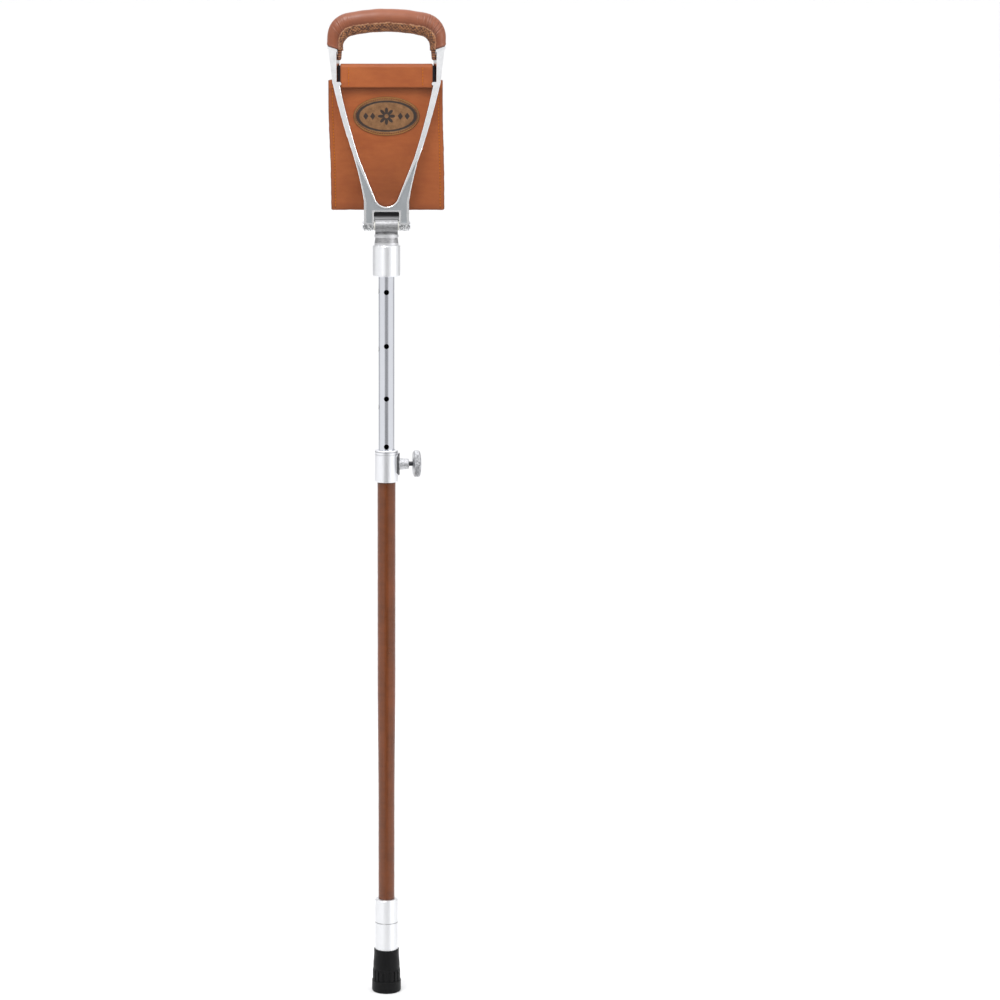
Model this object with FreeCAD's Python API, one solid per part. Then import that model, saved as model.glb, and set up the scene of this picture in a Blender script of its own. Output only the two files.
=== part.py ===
"""A walking stick whose two arched handles open into a leather sling seat.

Millimetres, +Z up. The origin is the centre of the foot's underside. The front is -Y. The stick is
drawn out, and both handles stand upright against each other.
"""
import FreeCAD
import Part

import math
import os

from FreeCAD import Vector

# Clearances
RUN_FIT = 0.05          # radial, between a shaft and its bore
FREE_GAP = 0.35         # between pieces that move apart

# Foot and lower ferrules
FOOT_HEIGHT = 44.4
FOOT_BASE_R = 14.9
FOOT_BASE_HEIGHT = 11.8
FOOT_STEP_R = 14.1
FOOT_STEP_HEIGHT = 11.6
FOOT_NECK_R = 13.6
FOOT_RIM_R = 12.8
FOOT_RIM_HEIGHT = 5.4
FOOT_EDGE_R = 1.6
FOOT_LEDGE_R = 0.4
FOOT_HOLLOW_R = 9.0
FOOT_HOLLOW_DEPTH = 1.6
FLUTE_COUNT = 16
FLUTE_DEPTH = 0.7
FLUTE_WIDTH = 2.2
WASHER_R = 10.0
WASHER_THICKNESS = 2.0
WASHER_BED = 9.0        # rubber below the washer
PLUG_FOOT_R = 8.0
FERRULE_R = 11.7
FOOT_FERRULE_HEIGHT = 28.9
SHAFT_FERRULE_HEIGHT = 24.4
FERRULE_LINE = 0.5      # depth and half width of the line between the ferrules
FERRULE_EDGE = 0.8

# Lower tube and its leather
TUBE_WALL = 0.5
LOWER_TUBE_R = 8.7
LOWER_TUBE_FOOT_R = 7.9
TAPER_TOP = 318.0
TAPER_BOTTOM = 214.0
LEATHER_THICKNESS = 0.4
LEATHER_LENGTH = 433.0
SOCKET_DEPTH = 10.3     # how far the tube goes up into the collar

# Collar, boss and lock
COLLAR_R = 11.7
COLLAR_HEIGHT = 32.3
COLLAR_LIP = 2.0
COLLAR_GROOVE_DROP = 4.5
COLLAR_GROOVE = 0.5
COLLAR_EDGE = 1.0
BUSH_OUTER_R = 9.6
LOCK_DROP = 14.6        # from the collar's top down to the screw's axis
LOCK_YAW = 6.0          # degrees that the screw points to the back
BOSS_R_ROOT = 6.1
BOSS_R_TIP = 5.2
BOSS_REACH = 22.3
SADDLE_HEIGHT = 22.5
SADDLE_THICKNESS = 1.6
SADDLE_WIDTH = 15.0
BOSS_EDGE = 0.8
INSERT_R = 4.0
SCREW_R = 2.5
PIN_TIP_R = 2.0
PIN_TIP_LENGTH = 4.0
PIN_HEAD_LENGTH = 3.0
PIN_REST_GAP = 0.4      # between the pin's tip and the upper tube
KNOB_R = 13.25
KNOB_THICKNESS = 7.8
KNOB_GAP = 4.0          # between boss and knob
KNOB_EDGE = 1.4
KNOB_DISH = 1.0
KNURL_COUNT = 36
KNURL_DEPTH = 0.5
RIVET_R = 1.6
RIVET_HEAD_R = 2.6
RIVET_HEAD_HEIGHT = 0.8
RIVET_DROP = 26.0       # from the collar's top

# Upper tube
UPPER_TUBE_R = 8.0
UPPER_TUBE_WALL = 1.0
EXPOSED_TUBE = 174.5
OVERLAP = 48.0          # of the tube inside the collar and the lower tube
TRAVEL = 174.0
HOLE_R = 2.6
FRONT_HOLE_DROPS = (15.7, 69.6, 122.3, 170.7)  # from the upper ferrule's lower end
LOCK_STEPS = 3
BUSH_LENGTH = 12.0
BUSH_BORE_R = 5.0
END_PLUG_STEM = 14.0    # inside the tube
END_PLUG_FLANGE_R = 6.8
END_PLUG_FLANGE = 1.6

# Upper ferrule and knuckle
UPPER_FERRULE_R = 13.8
UPPER_FERRULE_HEIGHT = 31.1
UPPER_FERRULE_EDGE = 1.6
TUBE_SEAT = 28.0        # of the upper tube in the upper ferrule
SPIGOT_LENGTH = 24.0
GRUB_R = 2.0
GRUB_RISE = 14.0
FLANGE_R = 12.0
FLANGE_HEIGHT = 1.7
CONE_TOP_R = 11.0
CONE_HEIGHT = 6.0
RING_R = 12.0
RING_HEIGHT = 2.4
NECK_R = 10.8
NECK_HEIGHT = 3.6
KNUCKLE_HALF_WIDTH = 11.2
BARREL_R = 6.8
BARREL_RISE = 5.7       # from the neck's top to the pivot
SADDLE_BLOCK_RISE = 13.4
SADDLE_BLOCK_DEPTH = 12.0
PIVOT_Y = 8.5
PIVOT_R = 2.5
PIVOT_HEAD_R = 3.5
PIVOT_HEAD = 0.9
WASHER_OUTER_R = 4.4

# Height of the seat bar's lower edge above the pivot, by which the sling just clears the knuckle
LEATHER = 1.8
SLING_LENGTH = 119.0
FOLD_CLEARANCE = 1.9    # from the knuckle's block to the sling's fold
BAR_RISE = SADDLE_BLOCK_RISE + FOLD_CLEARANCE + LEATHER / 2 + SLING_LENGTH + LEATHER

# Frames: heights are above the pivot, lifts above the seat bar, and half widths from the middle plane
LUG_R = 4.9
LUG_GAP = 1.8           # between the knuckle's cheek and the lug
WEB_HALF_WIDTH = 22.3
WEB_BOTTOM = 14.0
WEB_HEIGHT = 5.0
CROTCH_R = 11.9
CROTCH_ANGLE = 22.4     # of the arms' inner edges at the web, from upright
FLANK_TOP = 24.0        # where the web's upright flank ends
WAIST_HEIGHT = 67.0     # where the arms are narrowest
WAIST_OUTER = 32.1
WAIST_ARM = 4.9
KNEE_LIFT = 3.0
KNEE_HEIGHT = BAR_RISE + KNEE_LIFT  # where the V turns into the upright part
KNEE_OUTER = 53.0
KNEE_ARM = 6.8
SHOULDER_OUTER = 57.2
SHOULDER_ARM = 10.8
BEVEL_WIDTH = 2.8       # on the upright arms' inner front edges
BEVEL_DEPTH = 5.0
ARM_BULGE = 1.0
FLANK_HOLLOW = 0.8
FRAME_FRONT = 13.0      # distance of the front face from the middle plane
FRAME_BACK = 3.9
SLING_RELIEF_LIFT = 9.0
SLING_RELIEF_TOP = BAR_RISE + SLING_RELIEF_LIFT
RECESS_DEPTH = 0.8
RECESS_RIM = 2.4
RECESS_RIM_INNER = 1.5
RECESS_FOOT = 3.0
NUB_R = 1.75
NUB_PROUD = 0.5         # of the front face
NUB_LIFT = 2.5
NUB_RISE = BAR_RISE + NUB_LIFT
FRAME_EDGE = 0.7

# Grip
GRIP_LIFT = 75.0
GRIP_TOP = BAR_RISE + GRIP_LIFT
GRIP_HALF_WIDTH = 58.0
GRIP_CORNER_R = 24.0
CROWN_ANGLE = 12.4      # slope of the grip's top where its corner starts
GRIP_THICKNESS = 22.1
GRIP_DEPTH = 17.0
GRIP_GAP = 0.3          # from the grip to the middle plane
HAND_GAP_HALF_WIDTH = 42.7
HAND_GAP_CORNER_R = 11.0
GRIP_END_LIFT = 39.0
GRIP_END = BAR_RISE + GRIP_END_LIFT  # of the leather, on the outside
GRIP_SLANT = 5.0        # how much lower it ends on the inside
GRIP_LEATHER = 1.6
LIP_HEIGHT = 2.4        # of the raised lip round each arm's top, under the leather
LIP_PROUD = 0.7
LIP_INSET = 2.0         # from the arm's inner edge
ROD_SHARE = 0.5         # of the rod in the grip's section
ROD_ROOT = 6.0          # of the rod, sunk in the arm
TONGUE_LIFT = 25.0
TONGUE_END = BAR_RISE + TONGUE_LIFT
TONGUE_INSET = 0.7      # from the grip's inner side
TONGUE_DEPTH = 7.0
CORNER_STATIONS = 5

# Sling
BAR_HEIGHT = 20.0
BAR_THICKNESS = 3.6
BAR_BACK = 6.1
BAR_SEAT = 3.2          # how far each end goes into its arm
LOOP_HALF_WIDTH = 45.4
SLING_HALF_WIDTH = 57.0
SHOULDER_STRIP = 8.0
HINGE_SLIT = 0.4
FOLD_CENTRE = 2.2       # of a half's lower end, from the middle plane
PATCH_HALF_WIDTH = 32.7
PATCH_HALF_HEIGHT = 19.1
PATCH_THICKNESS = 1.0
PATCH_DROP = 27.5       # from the hinge to the patch's centre
CLOTH_CLEARANCE = 0.5   # between sling and frame

# Levels worked out from the sizes above
foot_top = FOOT_HEIGHT
foot_ferrule_top = foot_top + FOOT_FERRULE_HEIGHT
shaft_ferrule_top = foot_ferrule_top + SHAFT_FERRULE_HEIGHT
collar_bottom = shaft_ferrule_top + LEATHER_LENGTH
collar_top = collar_bottom + COLLAR_HEIGHT
lock_z = collar_top - LOCK_DROP
upper_ferrule_bottom = collar_top + EXPOSED_TUBE
upper_ferrule_top = upper_ferrule_bottom + UPPER_FERRULE_HEIGHT
flange_top = upper_ferrule_top + FLANGE_HEIGHT
cone_top = flange_top + CONE_HEIGHT
ring_top = cone_top + RING_HEIGHT
neck_top = ring_top + NECK_HEIGHT
pivot_z = neck_top + BARREL_RISE
tube_bottom = collar_top - OVERLAP
tube_top = upper_ferrule_bottom + TUBE_SEAT
lower_tube_top = collar_bottom + SOCKET_DEPTH
lower_bore_r = LOWER_TUBE_R - TUBE_WALL
upper_bore_r = UPPER_TUBE_R - UPPER_TUBE_WALL
pin_tip_x = UPPER_TUBE_R + PIN_REST_GAP
pin_head_x = pin_tip_x + PIN_TIP_LENGTH
screw_end_x = pin_head_x + PIN_HEAD_LENGTH + FREE_GAP
knob_x = BOSS_REACH + KNOB_GAP
hinge_y = BAR_BACK - LEATHER / 2
hinge_z = pivot_z + BAR_RISE - LEATHER
lug_inner = KNUCKLE_HALF_WIDTH + LUG_GAP
shoulder_inner = SHOULDER_OUTER - SHOULDER_ARM
grip_y = -(GRIP_GAP + GRIP_DEPTH / 2)


def cylinder(radius, z0, z1, x=0.0, y=0.0):
    """Upright solid cylinder between two levels."""
    return Part.makeCylinder(radius, z1 - z0, Vector(x, y, z0))


def tube(outer, inner, z0, z1):
    """Upright tube between two levels."""
    return cylinder(outer, z0, z1).cut(cylinder(inner, z0 - 1, z1 + 1))


def cross_rod(radius, x0, x1, y, z):
    """Cylinder along X."""
    return Part.makeCylinder(radius, x1 - x0, Vector(x0, y, z), Vector(1, 0, 0))


def box(x0, x1, y0, y1, z0, z1):
    """Box between two corners."""
    return Part.makeBox(x1 - x0, y1 - y0, z1 - z0, Vector(x0, y0, z0))


def polygon(points):
    """Closed wire through points."""
    return Part.makePolygon(list(points) + [points[0]])


def turned(points):
    """Solid of revolution about Z from (radius, z) points."""
    face = Part.Face(polygon([Vector(r, 0, z) for r, z in points]))
    return face.revolve(Vector(0, 0, 0), Vector(0, 0, 1), 360)


def edges_at(shape, z, radius):
    """Round edges of a turned solid at one level and radius."""
    found = []
    for edge in shape.Edges:
        box_of = edge.BoundBox
        flat = abs(box_of.ZMin - z) < 1e-3 and abs(box_of.ZMax - z) < 1e-3
        if flat and abs(box_of.XMax - radius) < 1e-2:
            found.append(edge)
    return found


def soften(shape, size, *rings):
    """Round a turned solid's edges, each given as (z, radius)."""
    edges = []
    for z, radius in rings:
        edges += edges_at(shape, z, radius)
    return shape.makeFillet(size, edges)


def along_lock(shape):
    """Turn a shape that was built along +X about Z, onto the lock screw's direction."""
    placed = shape.copy()
    placed.rotate(Vector(0, 0, 0), Vector(0, 0, 1), LOCK_YAW)
    return placed


def to_rear(shape):
    """Mirror a front piece to the rear."""
    return shape.mirror(Vector(0, 0, 0), Vector(0, 1, 0))


def joined(shapes):
    """One solid from overlapping ones."""
    first, *rest = shapes
    return first.fuse(rest).removeSplitter()


def make_foot():
    """Rubber foot: stepped and fluted, hollow under the middle, with a socket for plug and washer."""
    step_top = FOOT_BASE_HEIGHT + FOOT_STEP_HEIGHT
    rim_bottom = FOOT_HEIGHT - FOOT_RIM_HEIGHT
    body = turned([
        (FOOT_HOLLOW_R, 0), (FOOT_BASE_R, 0), (FOOT_BASE_R, FOOT_BASE_HEIGHT),
        (FOOT_STEP_R, FOOT_BASE_HEIGHT), (FOOT_STEP_R, step_top), (FOOT_NECK_R, step_top),
        (FOOT_NECK_R, step_top + FOOT_RIM_HEIGHT), (FOOT_RIM_R, rim_bottom), (FOOT_RIM_R, FOOT_HEIGHT),
        (0, FOOT_HEIGHT), (0, FOOT_HOLLOW_DEPTH), (FOOT_HOLLOW_R - FOOT_HOLLOW_DEPTH, FOOT_HOLLOW_DEPTH)])
    body = soften(body, FOOT_EDGE_R, (0, FOOT_BASE_R))
    body = soften(body, FOOT_LEDGE_R, (FOOT_BASE_HEIGHT, FOOT_BASE_R), (step_top, FOOT_STEP_R))
    flutes = []
    for i in range(FLUTE_COUNT):
        flute = box(FOOT_STEP_R - FLUTE_DEPTH, FOOT_STEP_R + 1, -FLUTE_WIDTH / 2, FLUTE_WIDTH / 2,
                    FOOT_BASE_HEIGHT + FLUTE_DEPTH, step_top - FLUTE_DEPTH)
        flute.rotate(Vector(0, 0, 0), Vector(0, 0, 1), 360.0 * (i + 0.5) / FLUTE_COUNT)
        flutes.append(flute)
    socket = cylinder(PLUG_FOOT_R, WASHER_BED + WASHER_THICKNESS, FOOT_HEIGHT + 1)
    bed = cylinder(WASHER_R, WASHER_BED, WASHER_BED + WASHER_THICKNESS)
    return body.cut(flutes + [socket, bed])


def make_foot_washer():
    """Steel disc moulded into the foot."""
    return cylinder(WASHER_R, WASHER_BED, WASHER_BED + WASHER_THICKNESS)


def make_foot_plug():
    """Turned core: a thick lower end in the foot, a thinner upper end in the tube."""
    in_tube = LOWER_TUBE_FOOT_R - TUBE_WALL
    bottom = WASHER_BED + WASHER_THICKNESS
    top = shaft_ferrule_top - FERRULE_LINE
    return turned([(0, bottom), (PLUG_FOOT_R, bottom), (PLUG_FOOT_R, foot_top), (in_tube, foot_top),
                   (in_tube, top), (0, top)])


def make_foot_ferrule():
    """Bright sleeve on the tube's lower end, seated on the foot."""
    body = tube(FERRULE_R, LOWER_TUBE_FOOT_R, foot_top, foot_ferrule_top)
    body = soften(body, FERRULE_EDGE, (foot_top, FERRULE_R))
    return soften(body, FERRULE_LINE, (foot_ferrule_top, FERRULE_R))


def make_shaft_ferrule():
    """Bright sleeve above it, which hides the leather's lower end."""
    body = tube(FERRULE_R, LOWER_TUBE_FOOT_R, foot_ferrule_top, shaft_ferrule_top)
    body = soften(body, FERRULE_LINE, (foot_ferrule_top, FERRULE_R))
    return soften(body, FERRULE_EDGE, (shaft_ferrule_top, FERRULE_R))


def shaft_profile(grow, z_low, z_high):
    """Outline points of the tapered shaft, grown outwards, from low to high."""
    low, high = LOWER_TUBE_FOOT_R + grow, LOWER_TUBE_R + grow
    return [(low, z_low), (low, TAPER_BOTTOM), (high, TAPER_TOP), (high, z_high)]


def make_lower_tube():
    """Steel tube that tapers below the upper tube's reach, with a hole for the collar's rivet."""
    outer = shaft_profile(0, foot_top, lower_tube_top)
    inner = shaft_profile(-TUBE_WALL, foot_top, lower_tube_top)
    return turned(outer + inner[::-1]).cut(rivet_shank())


def make_shaft_leather():
    """Leather skin on the lower tube, between the ferrule and the collar."""
    outer = shaft_profile(LEATHER_THICKNESS, shaft_ferrule_top, collar_bottom)
    inner = shaft_profile(0, shaft_ferrule_top, collar_bottom)
    return turned(outer + inner[::-1])


def make_collar():
    """Clamp collar with a lip over its bush, a groove, a saddle and a boss for the screw."""
    body = cylinder(COLLAR_R, collar_bottom, collar_top)
    body = soften(body, COLLAR_EDGE, (collar_bottom, COLLAR_R), (collar_top, COLLAR_R))
    groove_z = collar_top - COLLAR_GROOVE_DROP
    body = body.cut(tube(COLLAR_R + 1, COLLAR_R - COLLAR_GROOVE, groove_z - COLLAR_GROOVE,
                         groove_z + COLLAR_GROOVE))
    saddle = Part.makeCylinder(SADDLE_HEIGHT / 2, COLLAR_R + SADDLE_THICKNESS, Vector(0, 0, lock_z),
                               Vector(1, 0, 0))
    saddle = saddle.common(cylinder(COLLAR_R + SADDLE_THICKNESS, collar_bottom, collar_top))
    side = SADDLE_WIDTH / 2
    saddle = saddle.common(box(0, BOSS_REACH, -side, side, collar_bottom, collar_top))
    root = Vector(BUSH_OUTER_R, 0, lock_z)
    boss = Part.makeCone(BOSS_R_ROOT, BOSS_R_TIP, BOSS_REACH - BUSH_OUTER_R, root, Vector(1, 0, 0))
    boss = boss.makeFillet(BOSS_EDGE, [e for e in boss.Edges if abs(e.BoundBox.XMin - BOSS_REACH) < 1e-3])
    body = joined([body, along_lock(saddle), along_lock(boss)])
    bores = [cylinder(LOWER_TUBE_R, collar_bottom - 1, lower_tube_top),
             cylinder(BUSH_OUTER_R, lower_tube_top, collar_top - COLLAR_LIP),
             cylinder(UPPER_TUBE_R + FREE_GAP, collar_top - COLLAR_LIP - 1, collar_top + 1),
             along_lock(cross_rod(INSERT_R, 0, BOSS_REACH + 1, 0, lock_z)),
             rivet_shank()]
    return body.cut(bores)


def make_collar_bush():
    """Plastic liner in the collar, in which the upper tube slides."""
    body = tube(BUSH_OUTER_R, UPPER_TUBE_R + RUN_FIT, lower_tube_top, collar_top - COLLAR_LIP)
    return body.cut(along_lock(cross_rod(SCREW_R + FREE_GAP, 0, BUSH_OUTER_R + 1, 0, lock_z)))


def make_threaded_insert():
    """Steel bush in the boss, which the screw turns in."""
    outer = cross_rod(INSERT_R, 0, BOSS_REACH, 0, lock_z)
    bore = cross_rod(SCREW_R + RUN_FIT, 0, BOSS_REACH + 1, 0, lock_z)
    body = along_lock(outer.cut(bore))
    return body.cut(cylinder(BUSH_OUTER_R, collar_bottom, collar_top))


def rivet_shank():
    """Shank of the rivet at the collar's back, through collar and tube."""
    start = Vector(0, lower_bore_r, collar_top - RIVET_DROP)
    return Part.makeCylinder(RIVET_R, COLLAR_R + 1 - lower_bore_r, start, Vector(0, 1, 0))


def make_collar_rivet():
    """Rivet that holds the collar to the tube."""
    start = Vector(0, COLLAR_R - RIVET_HEAD_R, collar_top - RIVET_DROP)
    head = Part.makeCylinder(RIVET_HEAD_R, RIVET_HEAD_HEIGHT + RIVET_HEAD_R, start, Vector(0, 1, 0))
    head = head.makeFillet(RIVET_HEAD_HEIGHT / 2, [e for e in head.Edges if e.BoundBox.YMin > COLLAR_R])
    return joined([rivet_shank(), head.cut(cylinder(COLLAR_R, collar_bottom, collar_top))])


def make_locking_pin():
    """Plain pin in front of the screw: a thin tip for the tube's holes and a head in the insert."""
    tip = cross_rod(PIN_TIP_R, pin_tip_x, pin_head_x + PIN_HEAD_LENGTH, 0, lock_z)
    head = cross_rod(SCREW_R, pin_head_x, pin_head_x + PIN_HEAD_LENGTH, 0, lock_z)
    return along_lock(joined([tip, head]))


def make_thumb_screw():
    """Shank of the screw, from the pin to the inside of the knob."""
    return along_lock(cross_rod(SCREW_R, screw_end_x, knob_x + KNOB_THICKNESS / 2, 0, lock_z))


def make_thumb_knob():
    """Knurled disc with rounded rims and a dished outer face."""
    disc = cross_rod(KNOB_R, knob_x, knob_x + KNOB_THICKNESS, 0, lock_z)
    disc = disc.makeFillet(KNOB_EDGE, [e for e in disc.Edges if e.BoundBox.XLength < 1e-3])
    outer_x = knob_x + KNOB_THICKNESS
    dish_r = KNOB_R - KNOB_EDGE * 2
    dish = Part.makeCone(dish_r - KNOB_DISH, dish_r, KNOB_DISH, Vector(outer_x - KNOB_DISH, 0, lock_z),
                         Vector(1, 0, 0))
    cuts = [dish, cross_rod(SCREW_R, knob_x - 1, knob_x + KNOB_THICKNESS / 2, 0, lock_z)]
    start = Vector(knob_x - 1, KNOB_R + KNURL_DEPTH, lock_z)
    for i in range(KNURL_COUNT):
        notch = Part.makeCylinder(KNURL_DEPTH * 2, KNOB_THICKNESS + 2, start, Vector(1, 0, 0))
        notch.rotate(Vector(0, 0, lock_z), Vector(1, 0, 0), 360.0 * i / KNURL_COUNT)
        cuts.append(notch)
    return along_lock(disc.cut(cuts))


def make_upper_tube():
    """Upper tube with a front row of holes and a side row, through both walls, for the locking pin."""
    body = tube(UPPER_TUBE_R, upper_bore_r, tube_bottom, tube_top)
    reach = UPPER_TUBE_R * 1.5
    holes = []
    for drop in FRONT_HOLE_DROPS:
        z = upper_ferrule_bottom - drop
        holes.append(Part.makeCylinder(HOLE_R, reach, Vector(0, -reach, z), Vector(0, 1, 0)))
    for i in range(LOCK_STEPS + 1):
        z = lock_z + i * TRAVEL / LOCK_STEPS
        holes.append(along_lock(cross_rod(HOLE_R, -reach, reach, 0, z)))
    return body.cut(holes)


def make_end_plug():
    """Plug in the upper tube's lower end, with a neck and a flange that carry the slide bush."""
    bush_bottom = tube_bottom - FREE_GAP - BUSH_LENGTH
    flange_top_z = bush_bottom - FREE_GAP
    bottom = flange_top_z - END_PLUG_FLANGE
    top = tube_bottom + END_PLUG_STEM
    neck_r = BUSH_BORE_R - RUN_FIT
    return turned([(0, bottom), (END_PLUG_FLANGE_R, bottom), (END_PLUG_FLANGE_R, flange_top_z),
                   (neck_r, flange_top_z), (neck_r, tube_bottom), (upper_bore_r, tube_bottom),
                   (upper_bore_r, top), (0, top)])


def make_slide_bush():
    """Plastic bush that slides in the lower tube."""
    top = tube_bottom - FREE_GAP
    return tube(lower_bore_r - RUN_FIT, BUSH_BORE_R, top - BUSH_LENGTH, top)


def make_upper_ferrule():
    """Bright cup over the upper tube's top end."""
    body = cylinder(UPPER_FERRULE_R, upper_ferrule_bottom, upper_ferrule_top)
    body = soften(body, UPPER_FERRULE_EDGE, (upper_ferrule_bottom, UPPER_FERRULE_R),
                  (upper_ferrule_top, UPPER_FERRULE_R))
    bore = cylinder(UPPER_TUBE_R, upper_ferrule_bottom - 1, tube_top)
    throat = cylinder(upper_bore_r, upper_ferrule_bottom, upper_ferrule_top + 1)
    return body.cut([bore, throat, grub_bore()])


def grub_bore():
    """Space of the set screw at the upper ferrule's back."""
    return Part.makeCylinder(GRUB_R, UPPER_FERRULE_R - UPPER_TUBE_R + 1,
                             Vector(0, UPPER_TUBE_R, upper_ferrule_bottom + GRUB_RISE), Vector(0, 1, 0))


def make_ferrule_screw():
    """Set screw from the back of the ferrule onto the tube, with a hexagon socket."""
    z = upper_ferrule_bottom + GRUB_RISE
    body = grub_bore().common(cylinder(UPPER_FERRULE_R - GRUB_R / 4, z - UPPER_TUBE_R, z + UPPER_TUBE_R))
    body = body.cut(cylinder(UPPER_TUBE_R, z - UPPER_TUBE_R, z + UPPER_TUBE_R))
    hexagon = [Vector(GRUB_R / 2 * math.cos(a), UPPER_FERRULE_R - GRUB_R, z + GRUB_R / 2 * math.sin(a))
               for a in (i * math.pi / 3 for i in range(6))]
    return body.cut(Part.Face(polygon(hexagon)).extrude(Vector(0, GRUB_R * 2, 0)))


def make_knuckle():
    """Cast block: spigot, flange, cone, ring and neck, then a saddle block between two barrels.

    Above the pivot washers the block widens to two cheeks, which nearly reach the lugs.
    """
    bottom = upper_ferrule_top - SPIGOT_LENGTH
    stem = turned([(0, bottom), (upper_bore_r, bottom), (upper_bore_r, upper_ferrule_top),
                   (FLANGE_R, upper_ferrule_top), (FLANGE_R, flange_top), (CONE_TOP_R, cone_top),
                   (RING_R, cone_top), (RING_R, ring_top), (NECK_R, ring_top), (NECK_R, pivot_z),
                   (0, pivot_z)])
    block_top = pivot_z + SADDLE_BLOCK_RISE
    block = box(-KNUCKLE_HALF_WIDTH, KNUCKLE_HALF_WIDTH, -SADDLE_BLOCK_DEPTH / 2, SADDLE_BLOCK_DEPTH / 2,
                ring_top, block_top)
    top_edges = [e for e in block.Edges if e.BoundBox.ZMin > block_top - 1e-3]
    block = block.makeFillet(FRAME_EDGE * 2, [e for e in top_edges if e.BoundBox.YLength < 1e-3])
    cheek_x = KNUCKLE_HALF_WIDTH + LUG_GAP - FREE_GAP
    cheeks = box(-cheek_x, cheek_x, -SADDLE_BLOCK_DEPTH / 2, SADDLE_BLOCK_DEPTH / 2,
                 pivot_z + WASHER_OUTER_R + FREE_GAP, block_top - FRAME_EDGE)
    barrels = [cross_rod(BARREL_R, -KNUCKLE_HALF_WIDTH, KNUCKLE_HALF_WIDTH, side * PIVOT_Y, pivot_z)
               for side in (-1, 1)]
    body = joined([stem, block, cheeks] + barrels)
    reach = WEB_HALF_WIDTH
    return body.cut([cross_rod(PIVOT_R, -reach, reach, side * PIVOT_Y, pivot_z) for side in (-1, 1)])


def make_pivot_pin():
    """Front pivot pin: shank through lugs and knuckle, with a low head at each end."""
    reach = WEB_HALF_WIDTH + FREE_GAP
    shank = cross_rod(PIVOT_R, -reach, reach, -PIVOT_Y, pivot_z)
    heads = []
    for x0, x1 in ((-reach - PIVOT_HEAD, -reach), (reach, reach + PIVOT_HEAD)):
        head = cross_rod(PIVOT_HEAD_R, x0, x1, -PIVOT_Y, pivot_z)
        rims = [e for e in head.Edges if e.BoundBox.XLength < 1e-3]
        outer_rim = max(rims, key=lambda e: abs(e.BoundBox.Center.x))
        heads.append(head.makeFillet(PIVOT_HEAD / 2, [outer_rim]))
    return joined([shank] + heads)


def make_pivot_washers():
    """Four plain washers between the knuckle's cheeks and the lugs."""
    thickness = LUG_GAP - FREE_GAP
    rings = []
    for x0 in (KNUCKLE_HALF_WIDTH, -KNUCKLE_HALF_WIDTH - thickness):
        for side in (-1, 1):
            y = side * PIVOT_Y
            ring = cross_rod(WASHER_OUTER_R, x0, x0 + thickness, y, pivot_z)
            rings.append(ring.cut(cross_rod(PIVOT_R, x0 - 1, x0 + thickness + 1, y, pivot_z)))
    return Part.makeCompound(rings)


def at(x, height, y=-FRAME_FRONT):
    """Point of the front frame, from its half width and its height above the pivot."""
    return Vector(x, y, pivot_z + height)


def bowed(p0, p1, bow):
    """Arc from p0 to p1 whose middle lies off the chord, to the chord's right for a positive bow."""
    chord = p1 - p0
    side = Vector(chord.z, 0, -chord.x).normalize()
    return Part.Arc(p0, (p0 + p1) * 0.5 + side * bow, p1).toShape()


def grip_end_height(x):
    """Height of the leather's slanted end at a half width."""
    return GRIP_END - GRIP_SLANT * (GRIP_HALF_WIDTH - x) / (GRIP_HALF_WIDTH - HAND_GAP_HALF_WIDTH)


def arm_inner(height):
    """Half width of an upright arm's inner edge at a height above the knee."""
    knee = KNEE_OUTER - KNEE_ARM
    share = (height - KNEE_HEIGHT) / (grip_end_height(shoulder_inner) - KNEE_HEIGHT)
    return knee + (shoulder_inner - knee) * share


def crotch_tangent(radius):
    """Where the crotch's arc meets the arm's straight inner edge, as (half width, height)."""
    angle = math.radians(CROTCH_ANGLE)
    centre = WEB_BOTTOM + WEB_HEIGHT + CROTCH_R
    return radius * math.cos(angle), centre - radius * math.sin(angle)


def arm_face():
    """Front outline of the V: two lugs, web, crotch and arms up to the shoulders."""
    centre = WEB_BOTTOM + WEB_HEIGHT + CROTCH_R
    tangent = crotch_tangent(CROTCH_R)
    right = [(lug_inner, -LUG_R), (WEB_HALF_WIDTH, -LUG_R), (WEB_HALF_WIDTH, FLANK_TOP),
             (WAIST_OUTER, WAIST_HEIGHT), (KNEE_OUTER, KNEE_HEIGHT),
             (SHOULDER_OUTER, grip_end_height(SHOULDER_OUTER)),
             (shoulder_inner, grip_end_height(shoulder_inner)),
             (KNEE_OUTER - KNEE_ARM, KNEE_HEIGHT), (WAIST_OUTER - WAIST_ARM, WAIST_HEIGHT), tangent]
    bows = [0, 0, -FLANK_HOLLOW, ARM_BULGE, 0, 0, 0, -ARM_BULGE, 0]
    edges = []
    for side in (1, -1):
        corners = [at(side * x, h) for x, h in right]
        for p0, p1, bow in zip(corners, corners[1:], bows):
            edges.append(bowed(p0, p1, side * bow) if bow else Part.makeLine(p0, p1))
    edges.append(Part.Arc(at(-tangent[0], tangent[1]), at(0, centre - CROTCH_R), at(*tangent)).toShape())
    edges.append(Part.makeLine(at(lug_inner, -LUG_R), at(lug_inner, WEB_BOTTOM)))
    edges.append(Part.makeLine(at(lug_inner, WEB_BOTTOM), at(-lug_inner, WEB_BOTTOM)))
    edges.append(Part.makeLine(at(-lug_inner, WEB_BOTTOM), at(-lug_inner, -LUG_R)))
    return Part.Face(Part.Wire(Part.__sortEdges__(edges)))


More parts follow.
